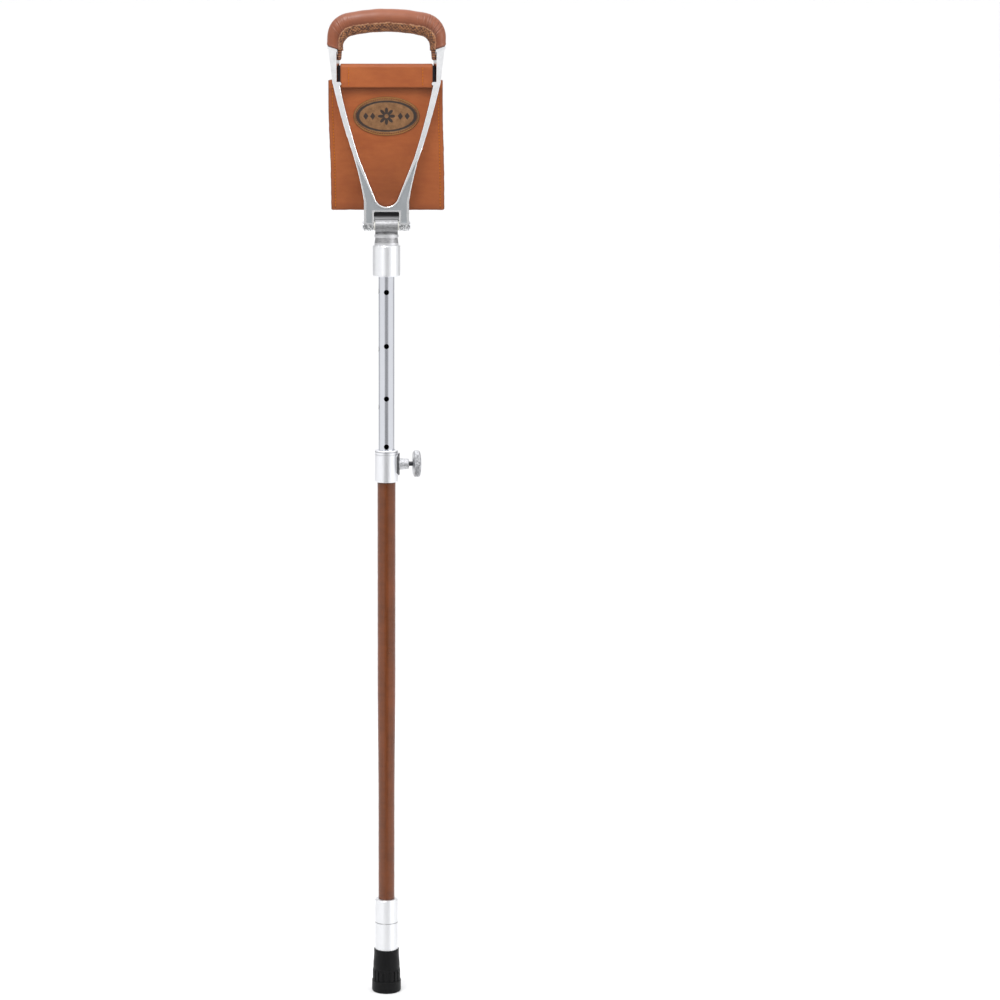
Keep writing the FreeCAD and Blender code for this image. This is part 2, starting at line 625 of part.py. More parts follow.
def recess_face():
    """Outline of the sunk panel on web, lugs and lower arms, inside its raised rims."""
    centre = WEB_BOTTOM + WEB_HEIGHT + CROTCH_R
    radius = CROTCH_R + RECESS_RIM_INNER
    tangent = crotch_tangent(radius)
    outer = WEB_HALF_WIDTH - RECESS_RIM
    inner = lug_inner + RECESS_RIM_INNER
    tip = (WAIST_OUTER - WAIST_ARM / 2, WAIST_HEIGHT - RECESS_RIM)
    floor = WEB_BOTTOM + RECESS_RIM_INNER
    edges = []
    for side in (1, -1):
        corners = [at(side * x, h) for x, h in (tangent, tip, (outer, FLANK_TOP), (outer, RECESS_FOOT),
                                                (inner, RECESS_FOOT), (inner, floor))]
        edges += [Part.makeLine(p0, p1) for p0, p1 in zip(corners, corners[1:])]
    edges.append(Part.Arc(at(-tangent[0], tangent[1]), at(0, centre - radius), at(*tangent)).toShape())
    edges.append(Part.makeLine(at(-inner, floor), at(inner, floor)))
    return Part.Face(Part.Wire(Part.__sortEdges__(edges)))


def arch_point(angle, half_width, corner_r, top):
    """Point of an arch whose edge normal leans by angle from upright: a flat crown, then a corner."""
    crown = math.radians(CROWN_ANGLE)
    reach = half_width - corner_r
    crown_r = corner_r + reach / math.sin(crown)
    if angle <= crown:
        return crown_r * math.sin(angle), top - crown_r * (1 - math.cos(angle))
    corner_h = top - crown_r + (crown_r - corner_r) * math.cos(crown)
    return reach + corner_r * math.sin(angle), corner_h + corner_r * math.cos(angle)


def grip_stations(root):
    """Outer and inner points of the grip's sections from end to end, the ends lowered by a root."""
    crown = math.radians(CROWN_ANGLE)
    angles = [0.0, crown / 2, crown]
    angles += [crown + (math.pi / 2 - crown) * i / CORNER_STATIONS for i in range(1, CORNER_STATIONS + 1)]
    right = []
    for angle in angles:
        outer = arch_point(angle, GRIP_HALF_WIDTH, GRIP_CORNER_R, GRIP_TOP)
        inner = arch_point(angle, HAND_GAP_HALF_WIDTH, HAND_GAP_CORNER_R, GRIP_TOP - GRIP_THICKNESS)
        right.append((outer, inner))
    right.append(((GRIP_HALF_WIDTH, GRIP_END - root), (HAND_GAP_HALF_WIDTH, GRIP_END - GRIP_SLANT - root)))
    left = [((-o[0], o[1]), (-i[0], i[1])) for o, i in right[:0:-1]]
    return left + right


def oval_wire(middle, up, across):
    """Ellipse of four quarter arcs, which starts at the end of its half axis called up."""
    wide = across.Length > up.Length
    major, minor = (across, -up) if wide else (up, across)
    ellipse = Part.Ellipse(middle + major, middle + minor, middle)
    start = math.pi / 2 if wide else 0.0
    quarters = []
    for i in range(4):
        first = start + i * math.pi / 2 + (math.pi if wide else 0.0)
        quarters.append(Part.ArcOfEllipse(ellipse, first, first + math.pi / 2).toShape())
    return Part.Wire(quarters)


def grip_solid(shrink, share=1.0, root=0.0):
    """Loft of elliptical sections along the grip, shrunk by a thickness and then by a share."""
    wires = []
    half_depth = (GRIP_DEPTH / 2 - shrink) * share
    for outer, inner in grip_stations(root):
        middle = (at(*outer, grip_y) + at(*inner, grip_y)) * 0.5
        along = at(*outer, grip_y) - middle
        up = along * ((along.Length - shrink) * share / along.Length)
        wires.append(oval_wire(middle, up, Vector(0, half_depth, 0)))
    return Part.makeLoft(wires, True, False)


def rod_solid():
    """Cast rod inside the grip, with its ends sunk in the arms."""
    return grip_solid(GRIP_LEATHER, ROD_SHARE, ROD_ROOT)


def sling_slope():
    """How much nearer to the middle plane the sling comes for each millimetre that it drops."""
    return (hinge_y - FOLD_CENTRE) / (SLING_LENGTH - HINGE_SLIT)


def sling_plane_y(height):
    """Distance from the middle plane of the sling's front face at a height above the pivot."""
    drop = hinge_z - HINGE_SLIT - pivot_z - height
    return hinge_y - sling_slope() * drop + LEATHER / 2


def sling_relief():
    """Space behind the arms that the sling takes, with its clearance."""
    low, high = WEB_BOTTOM, SLING_RELIEF_TOP
    hinge_h = hinge_z - pivot_z
    y_low = -(sling_plane_y(low) + CLOTH_CLEARANCE)
    y_high = -(sling_plane_y(hinge_h) + CLOTH_CLEARANCE)
    reach = 2 * GRIP_HALF_WIDTH
    corners = [(y_low, low), (y_high, hinge_h), (y_high, high), (0, high), (0, low)]
    face = Part.Face(polygon([at(-reach, height, y) for y, height in corners]))
    return face.extrude(Vector(2 * reach, 0, 0))


def make_frame():
    """Cast front frame: lugs, web, V arms, shoulders and the rod inside the grip."""
    depth = FRAME_FRONT - FRAME_BACK
    body = arm_face().extrude(Vector(0, depth, 0))
    lug_round = []
    for side in (-1, 1):
        x0, x1 = sorted((side * (lug_inner - 1), side * (WEB_HALF_WIDTH + 1)))
        block = box(x0, x1, -FRAME_FRONT - 1, 0, pivot_z - LUG_R - 1, pivot_z)
        lug_round.append(block.cut(cross_rod(LUG_R, x0, x1, -PIVOT_Y, pivot_z)))
    shoulder = grip_end_height(SHOULDER_OUTER)
    edges = [e for e in body.Edges if abs(e.BoundBox.YMin + FRAME_FRONT) < 1e-3
             and abs(e.BoundBox.YMax + FRAME_FRONT) < 1e-3 and e.BoundBox.ZMin > pivot_z - LUG_R + 1e-3
             and e.BoundBox.ZMax < pivot_z + shoulder - 1e-3]
    body = body.makeFillet(FRAME_EDGE, edges)
    body = body.cut(lug_round + [sling_relief()] + [arm_bevel(side) for side in (-1, 1)])
    body = body.cut(recess_face().extrude(Vector(0, RECESS_DEPTH, 0)))
    extras = [rod_solid()]
    for side in (-1, 1):
        extras += [nub(side), shoulder_lip(side)]
    body = joined([body] + extras)
    bore = cross_rod(PIVOT_R + RUN_FIT, -WEB_HALF_WIDTH - 1, WEB_HALF_WIDTH + 1, -PIVOT_Y, pivot_z)
    return body.cut([bore, seat_bar_solid()])


def arm_bevel(side):
    """Prism cut off an upright arm's inner front edge, from the nub to the shoulder."""
    before, behind = -FRAME_FRONT - 1, BEVEL_DEPTH - FRAME_FRONT
    wedges = []
    for height in (NUB_RISE + NUB_R, GRIP_END):
        x = arm_inner(height)
        corners = [(x - 1, before), (x + BEVEL_WIDTH, before), (x + BEVEL_WIDTH, -FRAME_FRONT),
                   (x, behind), (x - 1, behind)]
        wedges.append(polygon([at(side * corner_x, height, y) for corner_x, y in corners]))
    return Part.makeLoft(wedges, True, True)


def shoulder_lip(side):
    """Raised lip round an arm's top, along the leather's slanted end."""
    y = -FRAME_FRONT - LIP_PROUD
    x0, x1 = shoulder_inner + LIP_INSET, SHOULDER_OUTER + LIP_PROUD
    top0, top1 = grip_end_height(x0), grip_end_height(x1)
    corners = [(x0, top0), (x1, top1), (x1, top1 - LIP_HEIGHT), (x0, top0 - LIP_HEIGHT)]
    face = Part.Face(polygon([at(side * x, height, y) for x, height in corners]))
    return face.extrude(Vector(0, FRAME_FRONT - FRAME_BACK + 2 * LIP_PROUD, 0))


def nub(side):
    """Small round pip on an arm's inner front edge, beside the seat bar's lower corner."""
    x = side * (KNEE_OUTER - KNEE_ARM)
    length = FRAME_FRONT + NUB_PROUD - (BAR_BACK + BAR_THICKNESS + LEATHER) - LEATHER / 8
    return Part.makeCylinder(NUB_R, length, Vector(x, -FRAME_FRONT - NUB_PROUD, pivot_z + NUB_RISE),
                             Vector(0, 1, 0))


def seat_bar_half_length():
    """Half length of the bar, into both arms."""
    return arm_inner(BAR_RISE) + BAR_SEAT


def seat_bar_solid():
    """Flat bar between the arms."""
    half = seat_bar_half_length()
    z = pivot_z + BAR_RISE
    return box(-half, half, -BAR_BACK - BAR_THICKNESS, -BAR_BACK, z, z + BAR_HEIGHT)


def tongue(side):
    """Leather tongue on the inside of an arm, from just inside the grip's end down."""
    x_in = HAND_GAP_HALF_WIDTH + TONGUE_INSET
    top = GRIP_END - GRIP_SLANT + GRIP_LEATHER
    corners = [(x_in, TONGUE_END), (arm_inner(TONGUE_END), TONGUE_END), (arm_inner(top), top), (x_in, top)]
    face = Part.Face(polygon([at(side * x, height, grip_y - TONGUE_DEPTH / 2) for x, height in corners]))
    return face.extrude(Vector(0, TONGUE_DEPTH, 0))


def make_grip_padding():
    """Padding between the cast rod and the leather, ending with the leather."""
    return grip_solid(GRIP_LEATHER).cut([rod_solid(), tongue(-1), tongue(1)])


def make_grip_leather():
    """Leather cover of the grip, with a tongue on the inside of each arm."""
    shell = grip_solid(0.0).cut(grip_solid(GRIP_LEATHER))
    return joined([shell, tongue(-1), tongue(1)])


def make_loop():
    """Leather sewn round the seat bar, with wide shoulders behind the arms."""
    z0 = pivot_z + BAR_RISE
    front = -BAR_BACK - BAR_THICKNESS - LEATHER
    outer = box(-LOOP_HALF_WIDTH, LOOP_HALF_WIDTH, front, -BAR_BACK + LEATHER, z0 - LEATHER,
                z0 + BAR_HEIGHT + LEATHER)
    outer = outer.makeFillet(LEATHER * 0.9, [e for e in outer.Edges if e.BoundBox.XLength > LOOP_HALF_WIDTH
                                             and e.BoundBox.ZMin > z0])
    strip = box(-SLING_HALF_WIDTH, SLING_HALF_WIDTH, -BAR_BACK, -BAR_BACK + LEATHER, z0 - LEATHER,
                z0 - LEATHER + SHOULDER_STRIP)
    return joined([outer, strip]).cut(seat_bar_solid())


def make_sling_half():
    """One half of the sling, from its hinge line down to the fold."""
    top = hinge_z - HINGE_SLIT
    low = hinge_z - SLING_LENGTH
    half = LEATHER / 2
    fold = cross_rod(half, -SLING_HALF_WIDTH, SLING_HALF_WIDTH, -FOLD_CENTRE, low)
    corners = [(-hinge_y - half, top), (-hinge_y + half, top), (-FOLD_CENTRE + half, low),
               (-FOLD_CENTRE - half, low)]
    face = Part.Face(polygon([Vector(-SLING_HALF_WIDTH, y, z) for y, z in corners]))
    return joined([face.extrude(Vector(2 * SLING_HALF_WIDTH, 0, 0)), fold])


def make_patch():
    """Oval leather patch on the front of the sling."""
    ellipse = Part.Ellipse(Vector(0, 0, 0), PATCH_HALF_WIDTH, PATCH_HALF_HEIGHT)
    face = Part.Face(Part.Wire(ellipse.toShape()))
    solid = face.extrude(Vector(0, 0, PATCH_THICKNESS))
    solid.rotate(Vector(0, 0, 0), Vector(1, 0, 0), 90)
    height = hinge_z - PATCH_DROP - pivot_z
    solid.rotate(Vector(0, 0, 0), Vector(1, 0, 0), math.degrees(math.atan(sling_slope())))
    solid.translate(Vector(0, -sling_plane_y(height), pivot_z + height))
    return solid


def save(name, shape):
    """Write one sub-part and print its volume."""
    if not shape.isValid():
        raise ValueError(name + " is not valid")
    shape.exportStep(os.path.join("parts", name + ".step"))
    bounds = shape.BoundBox
    print("%-16s solids %d volume %10.1f z %7.1f to %7.1f" % (
        name, len(shape.Solids), shape.Volume, bounds.ZMin, bounds.ZMax))


def main():
    """Build and write every sub-part."""
    os.makedirs("parts", exist_ok=True)
    front = {
        "frame": make_frame(),
        "seat_bar": seat_bar_solid(),
        "grip_padding": make_grip_padding(),
        "grip_leather": make_grip_leather(),
        "sling_loop": make_loop(),
        "sling_half": make_sling_half(),
        "pivot_pin": make_pivot_pin(),
    }
    pieces = {
        "rubber_foot": make_foot(),
        "foot_washer": make_foot_washer(),
        "foot_plug": make_foot_plug(),
        "foot_ferrule": make_foot_ferrule(),
        "shaft_ferrule": make_shaft_ferrule(),
        "lower_tube": make_lower_tube(),
        "shaft_leather": make_shaft_leather(),
        "clamp_collar": make_collar(),
        "collar_bush": make_collar_bush(),
        "collar_rivet": make_collar_rivet(),
        "threaded_insert": make_threaded_insert(),
        "locking_pin": make_locking_pin(),
        "thumb_screw": make_thumb_screw(),
        "thumb_knob": make_thumb_knob(),
        "slide_bush": make_slide_bush(),
        "end_plug": make_end_plug(),
        "upper_tube": make_upper_tube(),
        "upper_ferrule": make_upper_ferrule(),
        "ferrule_screw": make_ferrule_screw(),
        "knuckle": make_knuckle(),
        "pivot_washers": make_pivot_washers(),
        "seat_patch": make_patch(),
    }
    for name, shape in front.items():
        pieces["front_" + name] = shape
        pieces["rear_" + name] = to_rear(shape)
    for name, shape in pieces.items():
        save(name, shape)


main()
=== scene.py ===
"""The look of a walking stick seat: leather grips and sling, polished castings and a leather-covered shaft.

Everything is in metres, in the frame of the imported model: +Z up, the front is -Y, and the origin is
the centre of the foot's underside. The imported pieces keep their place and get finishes. Leather, thread
and the lock's screw are new meshes, worked out as grids of points.
"""

import logging
import math
from collections.abc import Callable
from dataclasses import dataclass, field
from enum import Enum

import bpy
import numpy as np
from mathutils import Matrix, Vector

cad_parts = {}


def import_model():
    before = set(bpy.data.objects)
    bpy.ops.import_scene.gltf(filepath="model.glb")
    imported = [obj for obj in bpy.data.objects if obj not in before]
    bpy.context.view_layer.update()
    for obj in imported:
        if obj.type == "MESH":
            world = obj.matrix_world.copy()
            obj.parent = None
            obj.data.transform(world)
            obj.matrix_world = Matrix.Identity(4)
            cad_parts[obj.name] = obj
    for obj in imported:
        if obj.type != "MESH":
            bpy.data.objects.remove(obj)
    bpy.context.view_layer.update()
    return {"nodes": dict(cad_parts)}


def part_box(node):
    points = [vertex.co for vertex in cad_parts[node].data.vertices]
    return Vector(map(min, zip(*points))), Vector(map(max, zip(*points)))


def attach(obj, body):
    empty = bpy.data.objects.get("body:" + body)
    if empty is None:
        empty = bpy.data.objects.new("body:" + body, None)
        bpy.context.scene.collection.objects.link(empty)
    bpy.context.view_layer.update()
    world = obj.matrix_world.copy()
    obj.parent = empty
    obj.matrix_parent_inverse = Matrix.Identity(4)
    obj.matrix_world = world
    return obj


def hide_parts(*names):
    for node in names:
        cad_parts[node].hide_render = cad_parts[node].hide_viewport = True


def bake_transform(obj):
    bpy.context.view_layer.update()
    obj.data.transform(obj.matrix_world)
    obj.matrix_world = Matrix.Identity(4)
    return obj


LOG = logging.getLogger("stick_seat")
MM = 0.001
Colour = tuple[float, float, float]
Array = np.ndarray
Piece = bpy.types.Object
Material = bpy.types.Material


class Side(Enum):
    """Which of the two handles a piece belongs to, and the sign of its Y."""

    FRONT = -1.0
    REAR = 1.0

    @property
    def prefix(self) -> str:
        """First word of the names of this side's pieces."""
        return self.name.lower() + "_"

    @property
    def frame_body(self) -> str:
        """Body that the handle's frame belongs to."""
        return self.prefix + "frame"

    @property
    def sling_body(self) -> str:
        """Body that the sling's half belongs to."""
        return self.prefix + "sling"


def paint(red: int, green: int, blue: int) -> Colour:
    """Turn a screen colour of 0 to 255 into the linear values that a shader takes."""
    shares = [c / 255.0 for c in (red, green, blue)]
    return tuple(s / 12.92 if s <= 0.04045 else ((s + 0.055) / 1.055) ** 2.4 for s in shares)


def smooth_step(values: Array, low: float, high: float) -> Array:
    """Rise from 0 at low to 1 at high, with level ends."""
    t = np.clip((values - low) / (high - low), 0.0, 1.0)
    return t * t * (3.0 - 2.0 * t)


def waves(values: Array, seed: int, count: int, longest: float, shortest: float) -> Array:
    """Sum of sines with seeded lengths and phases, which stays about within -1 to 1.

    Args:
        values: Places along a line, in metres.
        seed: Seed of the lengths and phases.
        count: Number of sines.
        longest: Longest wave, in metres.
        shortest: Shortest wave, in metres.

    Returns:
        One height for each place.
    """
    rng = np.random.default_rng(seed)
    lengths = np.geomspace(longest, shortest, count)
    phases = rng.uniform(0.0, 2.0 * math.pi, count)
    total = np.zeros_like(values)
    for length, phase in zip(lengths, phases):
        total += np.sin(2.0 * math.pi * values / length + phase)
    return total / math.sqrt(count)


def math_method(operation: str) -> Callable:
    """Make a method that adds one Math node to a Sock and the other values.

    Args:
        operation: The node's operation.

    Returns:
        The method, which takes the other values.
    """
    def method(self: "Sock", *others: "Sock | float") -> "Sock":
        """Add the Math node."""
        return self.tree.node("ShaderNodeMath", {"operation": operation}, dict(enumerate((self, *others))))
    return method


class Sock:
    """An output socket whose sums, products and so on add Math nodes."""

    __add__ = __radd__ = math_method("ADD")
    __sub__ = math_method("SUBTRACT")
    __mul__ = __rmul__ = math_method("MULTIPLY")
    __truediv__ = math_method("DIVIDE")
    power = math_method("POWER")
    size = math_method("ABSOLUTE")
    cosine = math_method("COSINE")
    larger = math_method("MAXIMUM")
    angle = math_method("ARCTAN2")

    def __init__(self, tree: "Tree", out: bpy.types.NodeSocket) -> None:
        """Hold the tree and the socket."""
        self.tree = tree
        self.out = out

    def __rsub__(self, other: float) -> "Sock":
        """Difference from a number."""
        return self.tree.node("ShaderNodeMath", {"operation": "SUBTRACT"}, {0: other, 1: self})

    def ramp(self, low: float, high: float) -> "Sock":
        """Smooth rise from 0 at low to 1 at high, or a fall where low is the larger."""
        values = {0: self, 1: low, 2: high, 3: 0.0, 4: 1.0}
        return self.tree.node("ShaderNodeMapRange", {"interpolation_type": "SMOOTHSTEP"}, values)


class Tree:
    """A node tree with one shader: a material's, or the world's."""

    def __init__(self, name: str, world: bpy.types.World | None = None) -> None:
        """Start an empty material, or open the world's tree.

        Args:
            name: Name of the new material.
            world: World to open instead of a material.
        """
        self.material = world or bpy.data.materials.new(name)
        self.material.use_nodes = True
        self.nodes = self.material.node_tree.nodes
        self.links = self.material.node_tree.links
        self.shader = self.nodes["Background" if world else "Principled BSDF"]

    def node(self, kind: str, settings: dict, values: dict, out: int | str = 0) -> Sock:
        """Add a node.

        Args:
            kind: The node's type.
            settings: Its own settings, which are set first.
            values: Socket number or name to a number, tuple or Sock.
            out: The output that is wanted.

        Returns:
            The output as a Sock.
        """
        node = self.nodes.new(kind)
        for key, value in settings.items():
            setattr(node, key, value)
        for key, value in values.items():
            self._feed(node.inputs[key], value)
        return Sock(self, node.outputs[out])

    def _feed(self, socket: bpy.types.NodeSocket, value: "Sock | float | tuple") -> None:
        """Link or set one input.

        Args:
            socket: Input of a node.
            value: Link, number or colour.
        """
        if isinstance(value, Sock):
            self.links.new(value.out, socket)
        elif isinstance(value, tuple) and len(value) == 3 and socket.type == "RGBA":
            socket.default_value = (*value, 1.0)
        else:
            socket.default_value = value

    def feed(self, **values: "Sock | float | tuple") -> None:
        """Set or link the shader's inputs, named with underscores for spaces."""
        for key, value in values.items():
            self._feed(self.shader.inputs[key.replace("_", " ")], value)

    def blend(self, share: "Sock | float", first: "Sock | Colour", second: "Sock | Colour") -> Sock:
        """Mix two colours by a share."""
        return self.node("ShaderNodeMix", {"data_type": "RGBA"}, {0: share, 6: first, 7: second}, 2)

    def place(self, output: str = "Object") -> Sock:
        """Coordinates of one kind."""
        return self.node("ShaderNodeTexCoord", {}, {}, output)

    def stretched(self, place: Sock, x: float, y: float, z: float) -> Sock:
        """Coordinates scaled along each axis."""
        return self.node("ShaderNodeMapping", {}, {"Vector": place, "Scale": (x, y, z)})

    def noise(self, place: Sock, scale: float, detail: float = 2.0, roughness: float = 0.5) -> Sock:
        """Noise of about 0 to 1."""
        values = {"Vector": place, "Scale": scale, "Detail": detail, "Roughness": roughness}
        return self.node("ShaderNodeTexNoise", {}, values)

    def cells(self, place: Sock, scale: float) -> Sock:
        """Distance in a soft cell pattern."""
        return self.node("ShaderNodeTexVoronoi", {"feature": "SMOOTH_F1"}, {"Vector": place, "Scale": scale})

    def part(self, vector: Sock, axis: str) -> Sock:
        """One of a vector's numbers."""
        return self.node("ShaderNodeSeparateXYZ", {}, {0: vector}, axis)

    def away(self, place: Sock) -> Sock:
        """Distance from the stick's axis."""
        return (self.part(place, "X").power(2.0) + self.part(place, "Y").power(2.0)).power(0.5)

    def ring(self, place: Sock, height: float, half: float) -> Sock:
        """Line round the stick at a height, fading over its own half width."""
        return (self.part(place, "Z") - height).size().ramp(2.0 * half, half)

    def marked(self, name: str) -> Sock:
        """A number that the mesh carries at its points."""
        return self.node("ShaderNodeAttribute", {"attribute_name": name}, {}, "Fac")

    def bump(self, height: Sock, distance: float, strength: float = 1.0) -> Sock:
        """Normal of a height in metres times distance."""
        values = {"Strength": strength, "Distance": distance, "Height": height}
        return self.node("ShaderNodeBump", {}, values, "Normal")


@dataclass(frozen=True)
class Leather:
    """Smooth dyed leather with a fine grain, darker at worked edges and where shade is painted in.

    It reads the marks "edge" for darkening, which is burnished rims and also painted shade that some pieces
    put in it, "cream" for cut edges, and "lace" for laced places.
    """

    name: str
    body: Colour
    deep: Colour
    gloss: float = 0.42
    grain: float = 0.09
    coat: float = 0.12
    shine: float = 0.35
    cream: Colour = paint(238, 190, 146)
    lace_high: Colour = paint(168, 112, 68)
    lace_low: Colour = paint(56, 22, 16)

    def build(self) -> Material:
        """Make the material.

        Returns:
            The finished material.
        """
        tree = Tree(self.name)
        flat = tree.place("UV")
        clouds = tree.noise(flat, 22.0, 3.0, 0.55)
        streaks = tree.noise(tree.stretched(flat, 60.0, 240.0, 1.0), 1.0, 4.0, 0.6)
        grain = tree.cells(flat, 1150.0)
        pores = tree.noise(flat, 2600.0, 2.0, 0.6)
        tone = (clouds * 0.65 + streaks * 0.35).ramp(0.25, 0.75)
        colour = tree.blend(tone, self.deep, self.body)
        colour = tree.blend(grain.ramp(0.1, 0.55) * 0.16, colour, self.deep)
        # The edge mark darkens: burnished rims, and painted shade on the sling and the grip.
        edge = tree.marked("edge")
        colour = tree.blend(edge * 0.72, colour, tuple(c * 0.28 for c in self.deep))
        lace = tree.marked("lace")
        # The lace's tone: blotchy, and lighter on the ridges and darker between them, which is painted shade
        # between the strands.
        blots = tree.noise(flat, 260.0, 3.0, 0.7)
        lace_tone_and_shade = (tree.marked("ridge") * 0.9 + (blots - 0.5) * 2.0).ramp(0.25, 1.1)
        laced = tree.blend(lace_tone_and_shade, self.lace_low, self.lace_high)
        colour = tree.blend(lace, colour, laced)
        colour = tree.blend(tree.marked("cream"), colour, self.cream)
        height = grain * self.grain + pores * self.grain * 0.3 + streaks * 0.05
        rough = self.gloss + (clouds - 0.5) * 0.16 + lace * 0.18 + edge * 0.08
        tree.feed(Base_Color=colour, Roughness=rough, Normal=tree.bump(height, 0.0011, 0.55),
                  Specular_IOR_Level=self.shine, Coat_Weight=self.coat, Coat_Roughness=0.3)
        return tree.material


@dataclass(frozen=True)
class Metal:
    """Bare metal with faint marks of polishing or drawing."""

    name: str
    colour: Colour
    rough: float
    marks: tuple[float, float, float]
    depth: float = 0.00004
    grime: float = 0.12
    turned: float = 0.0
    dark: Colour = paint(20, 20, 22)

    def soil_and_shade(self, tree: Tree, place: Sock) -> Sock | float:
        """Share of the dark colour at a place: dirt, or painted shade where a finish puts it."""
        return 0.0

    def build(self) -> Material:
        """Make the material.

        Returns:
            The finished material.
        """
        tree = Tree(self.name)
        place = tree.place()
        lines = tree.noise(tree.stretched(place, *self.marks), 1.0, 4.0, 0.65)
        clouds = tree.noise(place, 90.0, 3.0, 0.6)
        colour = tree.blend((clouds * 0.6 + lines * 0.4).ramp(0.3, 0.8) * self.grime, self.colour,
                            tuple(c * 0.72 for c in self.colour))
        colour = tree.blend(self.soil_and_shade(tree, place), colour, self.dark)
        rough = (clouds - 0.5) * 0.12 + (lines - 0.5) * 0.1 + self.rough
        tree.feed(Base_Color=colour, Metallic=1.0, Roughness=rough, Anisotropic=self.turned,
                  Anisotropic_Rotation=0.25 if self.turned else 0.0, Normal=tree.bump(lines, self.depth, 0.6))
        return tree.material


@dataclass(frozen=True)
class TubeMetal(Metal):
    """Drawn tube, black inside as painted shade, so that its holes look dark."""

    bore: float = 7.5 * MM

    def soil_and_shade(self, tree: Tree, place: Sock) -> Sock:
        """Painted shade: dark nearer to the axis than the bore's radius."""
        return tree.away(place).ramp(self.bore, self.bore - 0.2 * MM)


@dataclass(frozen=True)
class FerruleMetal(Metal):
    """Turned ferrules with dirt in the line between them."""

    line: float = 0.0

    def soil_and_shade(self, tree: Tree, place: Sock) -> Sock:
        """Dark in the line."""
        return tree.ring(place, self.line, 0.3 * MM) * 0.5


@dataclass(frozen=True)
class CollarMetal(Metal):
    """Polished collar with painted shade in a line under its lip, at the groove and on the saddle, and a boss
    left speckled as cast.
    """

    top: float = 0.0
    lip: float = 1.7 * MM
    groove: float = 4.5 * MM
    wall: float = 11.95 * MM
    saddle: float = 13.4 * MM

    def soil_and_shade(self, tree: Tree, place: Sock) -> Sock:
        """Painted shade in the lines and on the saddle beyond the wall, and speckled as cast beyond the
        saddle.

        Args:
            tree: Tree of the material that is made.
            place: Place on the piece.

        Returns:
            Share of the dark colour.
        """
        away = tree.away(place)
        sand = tree.noise(place, 900.0, 3.0, 0.75).ramp(0.4, 0.64)
        beyond = away.ramp(self.saddle, self.saddle + 0.3 * MM)
        # Painted shade on the saddle between the wall and the saddle's edge; speckle as cast on the boss
        # beyond it.
        cast = away.ramp(self.wall, self.wall + 0.2 * MM) * (0.82 - beyond * 0.6) + sand * beyond * 0.42
        # Painted shade in the line under the lip and in the groove.
        lines = (tree.ring(place, self.top - self.lip, 0.25 * MM) * 0.55
                 + tree.ring(place, self.top - self.groove, 0.35 * MM) * 0.2)
        return cast + lines


@dataclass(frozen=True)
class KnuckleMetal(Metal):
    """Brushed block with painted shade: a bright ring, darker bands on the barrel, neck and cone, and black
    under the frames' webs, where shadow falls.

    A shade band is its depth below the block's top, its half height, and its share of the dark colour.
    """

    top: float = 0.0
    bands: tuple[tuple[float, float, float], ...] = (
        (28.2 * MM, 2.2 * MM, 0.5), (20.5 * MM, 1.1 * MM, 0.66), (13.8 * MM, 5.4 * MM, 0.5))
    depth_y: float = 6.6 * MM
    shade: tuple[float, float] = (6.8 * MM, 3.2 * MM)

    def soil_and_shade(self, tree: Tree, place: Sock) -> Sock:
        """Painted shade: darker bands by height, and black on the upper block under the webs, away from the
        barrels.

        Args:
            tree: Tree of the material that is made.
            place: Place on the piece.

        Returns:
            Share of the dark colour.
        """
        streaks = tree.noise(tree.stretched(place, 380.0, 380.0, 1100.0), 1.0, 3.0, 0.7)
        near = tree.part(place, "Y").size().ramp(self.depth_y, self.depth_y - 0.5 * MM)
        start, end = self.shade
        below = self.top - tree.part(place, "Z")
        # Painted shadow: black on the upper block under the frames' webs.
        dark = near * below.ramp(start, end) * 0.96
        # Painted shade in bands on the barrel, neck and cone.
        for depth, half, share in self.bands:
            band = (below - depth).size().ramp(half + 0.6 * MM, half)
            dark = dark.larger(band * (streaks.ramp(0.3, 0.7) * 0.5 + 0.65) * share)
        return dark


@dataclass(frozen=True)
class KnurledMetal(Metal):
    """Knurled metal, dark where the mesh is marked "pit"."""

    def soil_and_shade(self, tree: Tree, place: Sock) -> Sock:
        """Dark at the bottoms, with some dirt beside them."""
        spots = tree.noise(place, 620.0, 3.0, 0.75).ramp(0.42, 0.62)
        return tree.marked("pit") * 0.8 + spots * 0.42


@dataclass(frozen=True)
class CastFrame:
    """Polished casting whose sunk panel is left matt and grey, with painted shade on its lugs."""

    name: str
    bright: Colour = paint(251, 252, 253)
    matt: Colour = paint(172, 176, 179)
    panel_near: float = 11.9 * MM
    panel_far: float = 12.45 * MM
    lug_top: float = 791.0 * MM

    def build(self) -> Material:
        """Make the material.

        Returns:
            The finished material.
        """
        tree = Tree(self.name)
        place = tree.place()
        depth = tree.part(place, "Y").size()
        facing = tree.part(tree.place("Normal"), "Y").size()
        inside = depth.ramp(self.panel_near, self.panel_near + 0.1 * MM)
        beyond = depth.ramp(self.panel_far, self.panel_far - 0.15 * MM)
        panel = inside * beyond * facing.ramp(0.7, 0.95)
        clouds = tree.noise(place, 140.0, 4.0, 0.6)
        sand = tree.noise(place, 2400.0, 2.0, 0.7)
        shine = tree.blend(clouds.ramp(0.35, 0.8) * 0.14, self.bright, self.matt)
        # Painted shade: blotchy dark on the lugs below the webs.
        lug = tree.part(place, "Z").ramp(self.lug_top, self.lug_top - 3.0 * MM)
        painted_shade = tree.noise(place, 520.0, 3.0, 0.7).ramp(0.36, 0.6) * lug
        colour = tree.blend(panel, shine, self.matt)
        colour = tree.blend(painted_shade * 0.9, colour, tuple(c * 0.36 for c in self.matt))
        rough = 0.16 + (clouds - 0.5) * 0.14 + panel * 0.32 + lug * 0.2
        tree.feed(Base_Color=colour, Metallic=1.0, Roughness=rough,
                  Normal=tree.bump(sand * (panel * 0.9 + 0.1), 0.0001, 0.5))
        return tree.material


